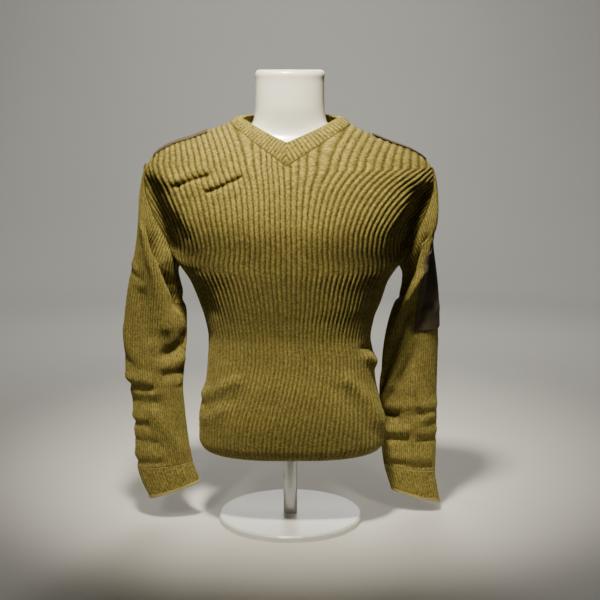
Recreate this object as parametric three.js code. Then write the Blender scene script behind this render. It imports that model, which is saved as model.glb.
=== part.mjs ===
// Ribbed V-neck army sweater, worn hollow on a limbless torso form that stands on a round base.
// Millimetres, +Z up, +X to the viewer's right, the front faces -Y, the origin is under the base's middle.
import * as THREE from 'three';

// Cloth
const WALL = 1.5; // under the valleys between ribs
const RIB = 1.5; // height of a rib over its valleys
const SEAM = 0.3; // gap between sewn pieces
const SEAM_TURN = 2.4; // gap where a seam joins walls at an angle
const PATCH_WALL = 1.2;
const PATCH_GAP = 0.8; // under a patch, over the crests
const HALF_RIBS = 27.5; // ribs of a panel on each side of its middle
const SLEEVE_RIBS = 36;
const CUFF_RIBS = 36;
const NECK_RIBS = 60;
// Columns of a panel's plain inside, closer where its edge bends
const INNER_RIBS = [0, 1.8, 3.7, 5.5, 8.5, 12, 15.5, 19, 22, 23.4, 24.8, 26.2, 27.5];
const INNER_AROUND = 24; // plain inside of a tube

// Body heights
const HEM_Z = 129;
const PIT_Z = 470; // bottom of the armhole
const FREE_Z = 560; // the armhole takes no ribs below this
const TIP_X = 247; // shoulder tip
const V_Z = 653; // point of the V
const NAPE_Z = 706; // middle of the back neckline
const NECK_X = 104; // neckline at the shoulder seam
const NECK_RIB = 5.5; // ribs inside this one end on the neckline
const TIP_RIB = 22; // ribs outside this one end on the armhole
const FAN_Z = 575; // ribs start to fan out here
const SQUARE = 2.4; // exponent of the body's rounded sections
const CHEST_ROLL = 2.5; // how late the front turns to the shoulder seam
const BACK_ROLL = 3.4;

// Level sections of the body: middle, half width, depth before and behind the seam plane
const BODY = [
  { z: 129, mid: 3, half: 118, front: 60, back: 66 },
  { z: 133, mid: 3, half: 144, front: 80, back: 86 },
  { z: 141, mid: 3, half: 159, front: 93, back: 98 },
  { z: 156, mid: 3, half: 166, front: 100, back: 105 },
  { z: 196, mid: 2, half: 164.5, front: 102, back: 105 },
  { z: 229, mid: 1, half: 158, front: 99, back: 98 },
  { z: 263, mid: 1, half: 150.5, front: 94, back: 90 },
  { z: 310, mid: 1, half: 146, front: 88, back: 80 },
  { z: 340, mid: -1, half: 143, front: 87, back: 76 },
  { z: 372, mid: -1, half: 148, front: 91, back: 79 },
  { z: 405, mid: 0, half: 159, front: 98, back: 86 },
  { z: 440, mid: -1, half: 171, front: 105, back: 93 },
  { z: 470, mid: -1, half: 190, front: 111, back: 98 },
  { z: 510, mid: -1, half: 218, front: 116, back: 103 },
  { z: 550, mid: -2, half: 239, front: 119, back: 106 },
  { z: 600, mid: -2, half: 257, front: 118, back: 107 },
  { z: 650, mid: -2, half: 264, front: 117, back: 107 },
  { z: 745, mid: 3, half: 264, front: 117, back: 107 },
];

// Half width of the body at the armhole seam
const ARMHOLE = [
  { z: 470, x: 190 },
  { z: 490, x: 203 },
  { z: 510, x: 212 },
  { z: 540, x: 226 },
  { z: 570, x: 239 },
  { z: 600, x: 248 },
  { z: 630, x: 250 },
  { z: 660, x: 247 },
];

// Height of the shoulder ridge, by distance from the middle
const RIDGE = [
  { x: 0, front: 724, back: 744, drop: 0 },
  { x: 60, front: 721, back: 734, drop: 1 },
  { x: 104, front: 717, back: 717, drop: 3 },
  { x: 130, front: 708, back: 708, drop: 6 },
  { x: 170, front: 693, back: 693, drop: 8 },
  { x: 210, front: 679, back: 679, drop: 9 },
  { x: 235, front: 662, back: 662, drop: 8 },
  { x: 250, front: 641, back: 641, drop: 6 },
  { x: 262, front: 610, back: 610, drop: 4 },
];

// Stations down each sleeve: outer and inner edge, where each lies in depth, and the half depths.
// Station 0 is the armhole, 11 the end of the sleeve, 13 the end of the cuff.
const CUFF_TOP = 11;
const CUFF_END = 13;
const SLEEVES = {
  left: [
    { at: 0, ox: -247, oz: 644, ix: -191, iz: 470, oy: 0, iy: 0, front: 45, back: 45 },
    { at: 1, ox: -257, oz: 610, ix: -199, iz: 462, oy: 1, iy: 4, front: 46, back: 46 },
    { at: 2, ox: -262, oz: 570, ix: -198, iz: 450, oy: 2, iy: 8, front: 46, back: 46 },
    { at: 3, ox: -268, oz: 522, ix: -195, iz: 436, oy: 2, iy: 12, front: 44, back: 44 },
    { at: 4, ox: -277, oz: 474, ix: -189, iz: 416, oy: 2, iy: 14, front: 40, back: 40 },
    { at: 5, ox: -288, oz: 422, ix: -186, iz: 388, oy: 2, iy: 14, front: 35, back: 36 },
    { at: 6, ox: -295, oz: 362, ix: -186, iz: 346, oy: 2, iy: 12, front: 31, back: 32 },
    { at: 7, ox: -296, oz: 302, ix: -190, iz: 296, oy: 2, iy: 10, front: 28, back: 28 },
    { at: 8, ox: -289, oz: 250, ix: -194, iz: 246, oy: 2, iy: 8, front: 26, back: 26 },
    { at: 9, ox: -283, oz: 200, ix: -191, iz: 200, oy: 2, iy: 6, front: 24, back: 24 },
    { at: 10, ox: -281, oz: 150, ix: -186, iz: 154, oy: 0, iy: 4, front: 22, back: 22 },
    { at: 11, ox: -277, oz: 96, ix: -178, iz: 108, oy: 0, iy: 2, front: 20, back: 20 },
    { at: 12, ox: -269, oz: 68, ix: -172, iz: 90, oy: 0, iy: 0, front: 19, back: 19 },
    { at: 13, ox: -256, oz: 40, ix: -165, iz: 72, oy: 0, iy: 0, front: 18, back: 18 },
  ],
  right: [
    { at: 0, ox: 246, oz: 639, ix: 189, iz: 470, oy: 0, iy: 0, front: 45, back: 45 },
    { at: 1, ox: 254, oz: 602, ix: 197, iz: 462, oy: 4, iy: 6, front: 46, back: 46 },
    { at: 2, ox: 248, oz: 562, ix: 200, iz: 449, oy: 8, iy: 12, front: 46, back: 46 },
    { at: 3, ox: 250, oz: 516, ix: 199, iz: 433, oy: 12, iy: 18, front: 44, back: 44 },
    { at: 4, ox: 256, oz: 466, ix: 192, iz: 411, oy: 16, iy: 26, front: 40, back: 40 },
    { at: 5, ox: 262, oz: 414, ix: 184, iz: 382, oy: 22, iy: 34, front: 36, back: 36 },
    { at: 6, ox: 266, oz: 354, ix: 174, iz: 338, oy: 30, iy: 42, front: 31, back: 31 },
    { at: 7, ox: 267, oz: 294, ix: 168, iz: 288, oy: 36, iy: 48, front: 28, back: 28 },
    { at: 8, ox: 267, oz: 240, ix: 164, iz: 236, oy: 40, iy: 50, front: 25, back: 25 },
    { at: 9, ox: 268, oz: 188, ix: 165, iz: 186, oy: 42, iy: 50, front: 23, back: 23 },
    { at: 10, ox: 268, oz: 136, ix: 168, iz: 138, oy: 42, iy: 48, front: 21, back: 21 },
    { at: 11, ox: 267, oz: 78, ix: 174, iz: 88, oy: 42, iy: 46, front: 20, back: 20 },
    { at: 12, ox: 271, oz: 50, ix: 180, iz: 66, oy: 42, iy: 45, front: 19, back: 19 },
    { at: 13, ox: 277, oz: 19, ix: 188, iz: 42, oy: 42, iy: 44, front: 18, back: 18 },
  ],
};

// Largest folds of the sleeves: from one station and place around (0 outer edge, 1 inner edge, below 0
// behind) to another, how far the cloth is pushed out or in, and how wide that is
const FOLDS = {
  left: [
    { at: 1.2, around: 0.42, toAt: 4.6, toAround: 0.86, push: -17, width: 21 },
    { at: 1.4, around: 0.16, toAt: 5.6, toAround: 0.66, push: 6, width: 15 },
    { at: 6.2, around: 0.9, toAt: 6.9, toAround: 0.72, push: -5, width: 16 },
    { at: 8.5, around: 0.1, toAt: 8.6, toAround: 0.5, push: -5, width: 12 },
    { at: 1.6, around: -0.5, toAt: 4.4, toAround: -0.85, push: -14, width: 20 },
    { at: 7.0, around: -0.3, toAt: 8.0, toAround: -0.8, push: -5, width: 16 },
  ],
  right: [
    { at: 0.9, around: 0.5, toAt: 3.4, toAround: 0.8, push: -20, width: 20 },
    { at: 2.0, around: 0.22, toAt: 5.8, toAround: 0.8, push: 9, width: 13 },
    { at: 3.6, around: 0.24, toAt: 7.8, toAround: 0.86, push: -8, width: 16 },
    { at: 9.0, around: 0.92, toAt: 9.1, toAround: 0.7, push: -5, width: 13 },
    { at: 1.6, around: -0.55, toAt: 4.2, toAround: -0.85, push: -14, width: 20 },
    { at: 6.4, around: -0.4, toAt: 7.4, toAround: -0.85, push: -6, width: 16 },
  ],
};
const ARMHOLE_REACH = 1.6; // stations over which the rings leave the armhole's own shape
const ARMHOLE_BOW = 20; // how far the first rings bow out from the body
const BOW_REACH = 4.5; // stations over which that bow dies out
const STATION_STEP = 48; // mean length between stations
const HALF_AROUND = 130; // mean half way round a sleeve

// Neckband: its inner edge at the V, at the shoulders and at the nape
const BAND_FRONT = { x: -5, y: -75, z: 689 };
const BAND_SIDE = { x: 80, y: -4, z: 726 };
const BAND_BACK = { y: 62, z: 738 };
const BAND_BOW = 5; // how far its straight sides bow out
const BAND_SWELL = 5; // rise of its middle line

// Patches, by ribs across and rise up the panel, or by stations and places around the sleeve
const SHOULDER_PATCH = { from: 9, to: 20, rows: [0.87, 0.94, 0.98, 1], left: 1.02, right: 1.012 };
const ELBOW_PATCHES = {
  left: { rows: [4, 5, 6, 7.3], from: -16, to: -2 },
  right: { rows: [3, 4, 5, 6], from: -9, to: 7 },
};

// Torso form: level sections as for the body, clear inside the cloth
const FORM = [
  { z: 147, mid: 3, half: 134, front: 72, back: 78 },
  { z: 153, mid: 3, half: 148, front: 85, back: 90 },
  { z: 170, mid: 3, half: 156, front: 92, back: 96 },
  { z: 205, mid: 2, half: 155, front: 94, back: 96 },
  { z: 263, mid: 1, half: 142, front: 86, back: 82 },
  { z: 310, mid: 1, half: 137, front: 80, back: 72 },
  { z: 350, mid: -1, half: 134, front: 79, back: 68 },
  { z: 405, mid: 0, half: 149, front: 89, back: 77 },
  { z: 450, mid: -1, half: 166, front: 98, back: 86 },
  { z: 510, mid: -1, half: 188, front: 107, back: 94 },
  { z: 575, mid: -1, half: 198, front: 105, back: 96 },
  { z: 620, mid: -1, half: 201, front: 93, back: 93 },
  { z: 650, mid: -2, half: 196, front: 76, back: 84 },
  { z: 672, mid: -3, half: 178, front: 61, back: 72 },
  { z: 686.2, mid: -5, half: 155, front: 51, back: 62 },
  { z: 695.2, mid: -5, half: 128, front: 45, back: 55 },
  { z: 702, mid: -2, half: 98, front: 42, back: 49 },
  { z: 708, mid: 0, half: 75, front: 41, back: 45 },
  { z: 722, mid: 0, half: 63, front: 42, back: 44 },
  { z: 745, mid: 0, half: 60, front: 45, back: 44 },
  { z: 790, mid: 0, half: 59.5, front: 46, back: 45 },
  { z: 801, mid: 0, half: 60.5, front: 47, back: 46 },
  { z: 807, mid: 0, half: 56, front: 43, back: 42 },
];
const FORM_COLUMNS = 28;
const POLE_RADIUS = 12.5;
const BASE_RADIUS = 130;
const BASE_HEIGHT = 12;
const BASE_BEVEL = 3;

// Rows of the panels, as the share of each rib's length from the hem
const RISES = [0, 0.015, 0.05, 0.15, 0.29, 0.42, 0.54, 0.66, 0.78, 0.87, 0.94, 0.98, 1];
const CUFF_PART = 0.005; // stations from the cuff's seam to either side
const SLEEVE_ROWS = [0, 0.5, 1.2, 2, 3, 4, 5, 6, 7.3, 8.6, 9.9, CUFF_TOP - CUFF_PART];
const CUFF_ROWS = [CUFF_TOP + CUFF_PART, CUFF_TOP + 1, CUFF_END];
const BAND_ROWS = [0.08, 0.5, 1];
const NECK_RIB_SHARE = 0.8; // height of the neckband's ribs to the body's
const PIT_SHARE = 0.9; // past this place around, a sleeve turns under the armpit
const NUDGE = 1e-4; // step for slopes of the surfaces

function material(color, roughness, metalness = 0) {
  return new THREE.MeshStandardMaterial({ color, roughness, metalness });
}

const WOOL = material(0x7a6a24, 0.95);
const TWILL = material(0x6b5344, 0.9);
const PLASTIC = material(0xe9e9e4, 0.2);
const ENAMEL = material(0xdcdcd8, 0.35);
const STEEL = material(0xb9bbbd, 0.25, 1);

function lerp(a, b, s) {
  return a + (b - a) * s;
}

function easeIn(s) {
  const c = THREE.MathUtils.clamp(s, 0, 1);
  return c * c * (3 - 2 * c);
}

// Smooth value of a table's column at a key, with no overshoot between rows
function column(table, key, name, value) {
  const last = table.length - 1;
  const v = THREE.MathUtils.clamp(value, table[0][key], table[last][key]);
  let i = 0;
  while (i < last - 1 && table[i + 1][key] <= v) i += 1;
  const secant = (j) => (table[j + 1][name] - table[j][name]) / (table[j + 1][key] - table[j][key]);
  const slope = (j) => {
    if (j === 0) return secant(0);
    if (j === last) return secant(last - 1);
    const before = secant(j - 1);
    const after = secant(j);
    return before * after <= 0 ? 0 : (2 * before * after) / (before + after);
  };
  const step = table[i + 1][key] - table[i][key];
  const s = (v - table[i][key]) / step;
  const rise = s * s * (3 - 2 * s);
  const low = table[i][name];
  const high = table[i + 1][name];
  return lerp(low, high, rise) + step * s * (1 - s) * ((1 - s) * slope(i) - s * slope(i + 1));
}

// A quarter of a rounded section, from its middle line to its side, with the length run so far
function quarterSection(half, depth) {
  const steps = 44;
  const points = [];
  let run = 0;
  for (let i = 0; i <= steps; i += 1) {
    const angle = ((Math.PI / 2) * i) / steps;
    const x = half * Math.sin(angle) ** (2 / SQUARE);
    const y = depth * Math.max(0, Math.cos(angle)) ** (2 / SQUARE);
    if (i > 0) run += Math.hypot(x - points[i - 1].x, y - points[i - 1].y);
    points.push({ run, x, y });
  }
  return points;
}

// Straight-line value of one column of a sorted list at another column's value
function linear(points, key, name, value) {
  const last = points.length - 1;
  let i = 0;
  while (i < last - 1 && points[i + 1][key] < value) i += 1;
  const span = points[i + 1][key] - points[i][key];
  return lerp(points[i][name], points[i + 1][name], (value - points[i][key]) / span);
}

function sideName(side) {
  return side < 0 ? 'front' : 'back';
}

function ridgeHeight(side, x) {
  const reach = Math.abs(x);
  const drop = x > 0 ? column(RIDGE, 'x', 'drop', reach) : 0;
  return column(RIDGE, 'x', sideName(side), reach) - drop;
}

// How much of its depth the body keeps as it rolls over to the shoulder ridge
function shoulderRoll(side, x, z) {
  const climb = THREE.MathUtils.clamp((z - PIT_Z) / (ridgeHeight(side, x) - PIT_Z), 0, 1);
  return Math.sqrt(1 - climb ** (side < 0 ? CHEST_ROLL : BACK_ROLL));
}

// Depth of the body's surface over a point of the seam plane, above the armpits
function bodyDepth(side, x, z) {
  const half = column(BODY, 'z', 'half', z);
  const across = Math.min(1, Math.abs(x - column(BODY, 'z', 'mid', z)) / half);
  const round = (1 - across ** SQUARE) ** (1 / SQUARE);
  return column(BODY, 'z', sideName(side), z) * round * shoulderRoll(side, x, z);
}

function armholeX(hand, z) {
  return hand * column(ARMHOLE, 'z', 'x', z) + column(BODY, 'z', 'mid', z);
}

function tipHeight(hand) {
  return ridgeHeight(-1, hand * TIP_X);
}

// Upper end of a rib: on the neckline, the shoulder seam or the armhole
function ribTop(side, rib) {
  const n = Math.abs(rib);
  const hand = rib < 0 ? -1 : 1;
  if (n < NECK_RIB) {
    const share = n / NECK_RIB;
    const shoulder = ridgeHeight(side, hand * NECK_X);
    if (side < 0) {
      return { x: hand * NECK_X * share + BAND_FRONT.x * (1 - share), z: lerp(V_Z, shoulder, share) };
    }
    const across = Math.sin((share * Math.PI) / 2);
    return { x: hand * NECK_X * across, z: lerp(NAPE_Z, shoulder, across ** 2) };
  }
  if (n <= TIP_RIB) {
    const x = hand * lerp(NECK_X, TIP_X, (n - NECK_RIB) / (TIP_RIB - NECK_RIB));
    return { x, z: ridgeHeight(side, x) };
  }
  const z = lerp(tipHeight(hand), FREE_Z, (n - TIP_RIB) / (HALF_RIBS - TIP_RIB));
  return { x: armholeX(hand, z), z };
}

// Where a rib would run if it kept its share of the width, as a point of the level section
function ribOnSection(side, rib, z) {
  const hand = rib < 0 ? -1 : 1;
  const half = column(BODY, 'z', 'half', z);
  const section = quarterSection(half, column(BODY, 'z', sideName(side), z));
  const last = section.length - 1;
  const reach = Math.min(half, column(ARMHOLE, 'z', 'x', z));
  const atSeam = z > PIT_Z ? linear(section, 'x', 'run', reach) : section[last].run;
  const lost = ((HALF_RIBS - TIP_RIB) * (z - FREE_Z)) / (tipHeight(hand) - FREE_Z);
  const share = Math.abs(rib) / (HALF_RIBS - THREE.MathUtils.clamp(lost, 0, HALF_RIBS - TIP_RIB));
  const crowd = 0.15 * easeIn((z - PIT_Z) / (FAN_Z - PIT_Z));
  const run = (atSeam - SEAM / 2) * share * (1 - crowd * (1 - share ** 2));
  const mid = column(BODY, 'z', 'mid', z);
  return { x: mid + hand * linear(section, 'run', 'x', run), y: side * linear(section, 'run', 'y', run) };
}

// A panel's surface: rib counted from the middle, rise from hem to the rib's upper end
function bodyPoint(side, rib, rise) {
  const top = ribTop(side, rib);
  const z = lerp(HEM_Z, top.z, rise);
  const plain = ribOnSection(side, rib, z);
  if (z <= PIT_Z) return new THREE.Vector3(plain.x, plain.y, z);
  const fan = THREE.MathUtils.clamp((z - FAN_Z) / (top.z - FAN_Z), 0, 1) ** 2;
  const shift = top.z > FAN_Z ? (top.x - ribOnSection(side, rib, top.z).x) * fan : 0;
  const x = plain.x + shift;
  const apart = (SEAM / 2) * easeIn((z - PIT_Z) / (V_Z - PIT_Z));
  return new THREE.Vector3(x, side * (bodyDepth(side, x, z) + apart), z);
}

// The armhole seam, from the shoulder tip (0) to the armpit (1), on the sleeve's side
function armholePoint(hand, side, share) {
  const z = lerp(tipHeight(hand), PIT_Z, (1 - Math.cos(Math.PI * share)) / 2);
  const x = armholeX(hand, z);
  return new THREE.Vector3(x + hand * SEAM_TURN, side * bodyDepth(side, x, z), z);
}

// Direction out of the body's surface over a point of the seam plane
function bodyOutward(side, x, z) {
  const step = 0.01;
  const inX = x - (x < 0 ? -step : step);
  const slopeX = (bodyDepth(side, x, z) - bodyDepth(side, inX, z)) / (x - inX);
  const slopeZ = (bodyDepth(side, inX, z) - bodyDepth(side, inX, z - step)) / step;
  return new THREE.Vector3(-slopeX, side, -slopeZ).normalize();
}

// Push of a sleeve's folds at a place, each a soft stroke along its own line
function foldPush(folds, around, at) {
  let push = 0;
  for (const fold of folds) {
    const start = new THREE.Vector2(fold.at * STATION_STEP, fold.around * HALF_AROUND);
    const end = new THREE.Vector2(fold.toAt * STATION_STEP, fold.toAround * HALF_AROUND);
    const here = new THREE.Vector2(at * STATION_STEP, around * HALF_AROUND);
    const way = end.sub(start);
    const along = THREE.MathUtils.clamp(here.clone().sub(start).dot(way) / way.lengthSq(), 0, 1);
    const gap = here.distanceTo(start.clone().addScaledVector(way, along));
    push += fold.push * Math.exp(-((gap / fold.width) ** 2));
  }
  return push * easeIn(at);
}

// Half of a sleeve's ring at a station, outer edge to inner edge, evenly parted when read by its run
function halfRing(hand, side, at) {
  const rows = SLEEVES[hand < 0 ? 'left' : 'right'];
  const value = (name) => column(rows, 'at', name, at);
  const outer = new THREE.Vector3(value('ox'), value('oy'), value('oz'));
  const inner = new THREE.Vector3(value('ix'), value('iy'), value('iz'));
  const depth = value(sideName(side));
  const way = outer.clone().sub(inner).normalize();
  const bow = ARMHOLE_BOW * (1 - easeIn(at / BOW_REACH));
  const steps = 36;
  const points = [];
  let run = 0;
  for (let i = 0; i <= steps; i += 1) {
    const angle = (Math.PI * i) / steps;
    const point = outer.clone().lerp(inner, (1 - Math.cos(angle)) / 2);
    point.x += hand * way.z * bow * Math.sin(angle);
    point.y += side * depth * Math.sin(angle) ** 0.9;
    point.z -= hand * way.x * bow * Math.sin(angle);
    if (at < ARMHOLE_REACH) point.lerp(armholePoint(hand, side, i / steps), 1 - easeIn(at / ARMHOLE_REACH));
    if (i > 0) run += point.distanceTo(points[i - 1]);
    points.push({ run, x: point.x, y: point.y, z: point.z });
  }
  return points;
}

// A sleeve's surface: around runs from -1 behind, over 0 at the outer edge, to 1 in front
function sleevePlain(hand, around, at) {
  const ring = halfRing(hand, around < 0 ? 1 : -1, at);
  const run = Math.abs(around) * ring[ring.length - 1].run;
  return new THREE.Vector3(...['x', 'y', 'z'].map((name) => linear(ring, 'run', name, run)));
}

function sleevePoint(hand, around, at) {
  const point = sleevePlain(hand, around, at);
  const push = foldPush(FOLDS[hand < 0 ? 'left' : 'right'], around, at);
  if (Math.abs(push) < 0.01) return point;
  const out = outward((u, v) => sleevePlain(hand, u, v), around, at, hand);
  return point.addScaledVector(out, push);
}

// Direction out of a surface, from its slopes; turn is 1 or -1 for its handedness
function outward(surface, u, v, turn) {
  const uBack = Math.max(u - NUDGE, u >= 1 ? u - NUDGE : -Infinity);
  const alongU = surface(u >= 1 ? u : u + NUDGE, v).sub(surface(uBack, v));
  const above = v >= 1 && v <= 1 + NUDGE ? 0 : NUDGE;
  const below = v <= 0 ? 0 : NUDGE;
  const alongV = surface(u, v + above).sub(surface(u, v - below));
  return alongU.cross(alongV).normalize().multiplyScalar(turn);
}

// The neckband's surface: share round the neck (0 and 1 at the V, 0.5 at the nape), across from seam to edge
function bandPoint(round, across) {
  const turn = ((round % 1) + 1) % 1;
  const hand = turn < 0.5 ? 1 : -1;
  const way = turn < 0.5 ? turn * 2 : 2 - turn * 2;
  const inFront = way < 0.5;
  const rib = hand * NECK_RIB * (inFront ? way * 2 : 2 - way * 2) * 0.9999;
  const seam = bodyPoint(inFront ? -1 : 1, rib, 1);
  const edge = new THREE.Vector3();
  if (inFront) {
    const share = way * 2;
    const bow = BAND_BOW * Math.sin(Math.PI * share);
    edge.x = lerp(BAND_FRONT.x, hand * BAND_SIDE.x, share) + (hand * bow) / 2;
    edge.y = lerp(BAND_FRONT.y, BAND_SIDE.y, share) - bow;
    edge.z = lerp(BAND_FRONT.z, BAND_SIDE.z, share);
  } else {
    const angle = (way * 2 - 1) * (Math.PI / 2);
    edge.x = hand * BAND_SIDE.x * Math.cos(angle);
    edge.y = lerp(BAND_SIDE.y, BAND_BACK.y, Math.sin(angle));
    edge.z = lerp(BAND_SIDE.z, BAND_BACK.z, Math.sin(angle));
  }
  const point = seam.lerp(edge, across);
  point.z += BAND_SWELL * Math.sin(Math.PI * across);
  return point;
}

// Grid of a surface's points, each moved out by lift(u, v)
function grid(surface, out, us, vs, lift) {
  const points = vs.map((v) => us.map((u) => surface(u, v).addScaledVector(out(u, v), lift(u, v))));
  return { points, us };
}

function evenly(from, to, count) {
  return Array.from({ length: count + 1 }, (_, i) => lerp(from, to, i / count));
}

// Closed wall between an outer and an inner grid with the same rows; closed grids repeat their first column
function wall(outer, inner, closed) {
  const positions = [];
  const triangles = [];
  const place = (rows) => rows.map((row) => {
    const ids = row.map((p, i) => {
      if (closed && i === row.length - 1) return -1;
      positions.push(p.x, p.y, p.z);
      return positions.length / 3 - 1;
    });
    if (closed) ids[ids.length - 1] = ids[0];
    return ids;
  });
  const sheet = (rows, flip) => {
    for (let j = 0; j + 1 < rows.length; j += 1) {
      for (let i = 0; i + 1 < rows[j].length; i += 1) {
        const [a, b, c, d] = [rows[j][i], rows[j][i + 1], rows[j + 1][i + 1], rows[j + 1][i]];
        triangles.push(...(flip ? [a, c, b, a, d, c] : [a, b, c, a, c, d]));
      }
    }
  };
  // joins two rows of ids that cover the same length at different places
  const zip = (from, to, fromAt, toAt, flip) => {
    let [i, j] = [0, 0];
    while (i + 1 < from.length || j + 1 < to.length) {
      const stepFrom = j + 1 >= to.length || (i + 1 < from.length && fromAt[i + 1] <= toAt[j + 1]);
      const third = stepFrom ? from[i + 1] : to[j + 1];
      triangles.push(...(flip ? [from[i], third, to[j]] : [from[i], to[j], third]));
      if (stepFrom) i += 1;
      else j += 1;
    }
  };
  const out = place(outer.points);
  const inn = place(inner.points);
  const last = out.length - 1;
  sheet(out, false);
  sheet(inn, true);
  zip(out[0], inn[0], outer.us, inner.us, false);
  zip(out[last], inn[last], outer.us, inner.us, true);
  if (!closed) {
    const rows = evenly(0, last, last);
    const end = (ids, first) => ids.map((row) => (first ? row[0] : row[row.length - 1]));
    zip(end(out, true), end(inn, true), rows, rows, true);
    zip(end(out, false), end(inn, false), rows, rows, false);
  }
  return solid(positions, triangles);
}

// Geometry from points and triangles, turned so that its faces point out
function solid(positions, triangles) {
  const p = (i) => new THREE.Vector3().fromArray(positions, i * 3);
  let volume = 0;
  for (let i = 0; i < triangles.length; i += 3) {
    volume += p(triangles[i]).dot(p(triangles[i + 1]).cross(p(triangles[i + 2])));
  }
  if (volume < 0) {
    for (let i = 0; i < triangles.length; i += 3) {
      [triangles[i + 1], triangles[i + 2]] = [triangles[i + 2], triangles[i + 1]];
    }
  }
  const geometry = new THREE.BufferGeometry();
  geometry.setAttribute('position', new THREE.Float32BufferAttribute(positions, 3));
  geometry.setIndex(triangles);
  geometry.computeVertexNormals();
  return geometry;
}

const group = new THREE.Group();

function add(name, geometry, look) {
  const mesh = new THREE.Mesh(geometry, look);
  mesh.name = name;
  group.add(mesh);
  return mesh;
}

// Ribs stand on whole counts and their valleys half way between
function ribLift(count) {
  const phase = Math.abs(count - Math.round(count));
  return phase < 0.25 ? RIB : 0;
}

function addPanel(side) {
  const surface = (rib, rise) => bodyPoint(side, rib, rise);
  const out = (rib, rise) => outward(surface, rib, rise, -side);
  const ribs = evenly(-HALF_RIBS, HALF_RIBS, HALF_RIBS * 4);
  const mirrored = [...INNER_RIBS.slice(1).map((rib) => -rib).reverse(), ...INNER_RIBS];
  const outer = grid(surface, out, ribs, RISES, (rib) => ribLift(rib));
  const inner = grid(surface, out, mirrored, RISES, () => -WALL);
  add(`${sideName(side)}_panel`, wall(outer, inner, false), WOOL);
}

// Direction out of a sleeve; at the armhole it is the body's, so that the two walls end face to face
function sleeveOutward(hand, around, at) {
  const own = outward((u, v) => sleevePoint(hand, wrap(u), v), around, at, hand);
  if (at > 0 || Math.abs(around) > PIT_SHARE) return own;
  const seam = sleevePlain(hand, around, 0);
  return bodyOutward(around < 0 ? 1 : -1, seam.x - hand * SEAM_TURN, seam.z);
}

function wrap(around) {
  if (around > 1) return around - 2;
  return around < -1 ? around + 2 : around;
}

function addTube(name, hand, rows, ribs, fade) {
  const surface = (around, at) => sleevePoint(hand, wrap(around), at);
  const out = (around, at) => sleeveOutward(hand, around, at);
  const lift = (around, at) => ribLift(((around + 1) / 2) * ribs) * (fade ? easeIn(at * 1.5) : 1);
  const outer = grid(surface, out, evenly(-1, 1, ribs * 2), rows, lift);
  const inner = grid(surface, out, evenly(-1, 1, INNER_AROUND), rows, () => -WALL);
  add(name, wall(outer, inner, true), WOOL);
}

function addNeckband() {
  const out = (round, across) => {
    if (across > BAND_ROWS[0]) return outward(bandPoint, round, across, 1);
    const seam = bandPoint(round, 0);
    return bodyOutward(round > 0.25 && round < 0.75 ? 1 : -1, seam.x, seam.z);
  };
  const lift = (round) => ribLift(round * NECK_RIBS) * NECK_RIB_SHARE;
  const outer = grid(bandPoint, out, evenly(0, 1, NECK_RIBS * 2), BAND_ROWS, lift);
  const inner = grid(bandPoint, out, evenly(0, 1, INNER_AROUND), BAND_ROWS, () => -WALL);
  add('neckband', wall(outer, inner, true), WOOL);
}

// A patch lies on the ribs: both its faces are the points below it, moved out
function addPatch(name, surface, out, us, vs) {
  const low = RIB + PATCH_GAP;
  const outer = grid(surface, out, us, vs, () => low + PATCH_WALL);
  const inner = grid(surface, out, us, vs, () => low);
  add(name, wall(outer, inner, false), TWILL);
}

// Over the shoulder seam: rows up the back panel, then one down the front (rise past 1)
function addShoulderPatch(hand) {
  const { from, to, rows } = SHOULDER_PATCH;
  const name = hand < 0 ? 'left' : 'right';
  const front = (rib, rise) => bodyPoint(-1, rib, rise);
  const back = (rib, rise) => bodyPoint(1, rib, rise);
  const surface = (rib, rise) => (rise > 1 ? front(rib, 2 - rise) : back(rib, rise));
  const out = (rib, rise) => (rise > 1 ? outward(front, rib, 2 - rise, 1) : outward(back, rib, rise, -1));
  const ribs = evenly(hand < 0 ? -to : from, hand < 0 ? -from : to, to - from);
  addPatch(`shoulder_patch_${name}`, surface, out, ribs, [...rows, SHOULDER_PATCH[name]]);
}

// On the outside of the elbow, its columns on the crests of the sleeve's ribs
function addElbowPatch(hand) {
  const name = hand < 0 ? 'left' : 'right';
  const { rows, from, to } = ELBOW_PATCHES[name];
  const surface = (around, at) => sleevePoint(hand, wrap(around), at);
  const out = (around, at) => sleeveOutward(hand, around, at);
  const crest = 2 / SLEEVE_RIBS;
  addPatch(`elbow_patch_${name}`, surface, out, evenly(from * crest, to * crest, to - from), rows);
}

function addForm() {
  const positions = [];
  const triangles = [];
  FORM.forEach((row) => {
    for (let i = 0; i < FORM_COLUMNS; i += 1) {
      const angle = (2 * Math.PI * i) / FORM_COLUMNS;
      const power = (v) => Math.sign(v) * Math.abs(v) ** (2 / 2.25);
      const depth = Math.cos(angle) > 0 ? row.front : row.back;
      positions.push(row.mid + row.half * power(Math.sin(angle)), -depth * power(Math.cos(angle)), row.z);
    }
  });
  for (let j = 0; j + 1 < FORM.length; j += 1) {
    for (let i = 0; i < FORM_COLUMNS; i += 1) {
      const a = j * FORM_COLUMNS + i;
      const b = j * FORM_COLUMNS + ((i + 1) % FORM_COLUMNS);
      triangles.push(a, b, b + FORM_COLUMNS, a, b + FORM_COLUMNS, a + FORM_COLUMNS);
    }
  }
  const top = (FORM.length - 1) * FORM_COLUMNS;
  for (let i = 1; i + 1 < FORM_COLUMNS; i += 1) {
    triangles.push(0, i + 1, i);
    triangles.push(top, top + i, top + i + 1);
  }
  add('form_torso', solid(positions, triangles), PLASTIC);
}

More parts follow.
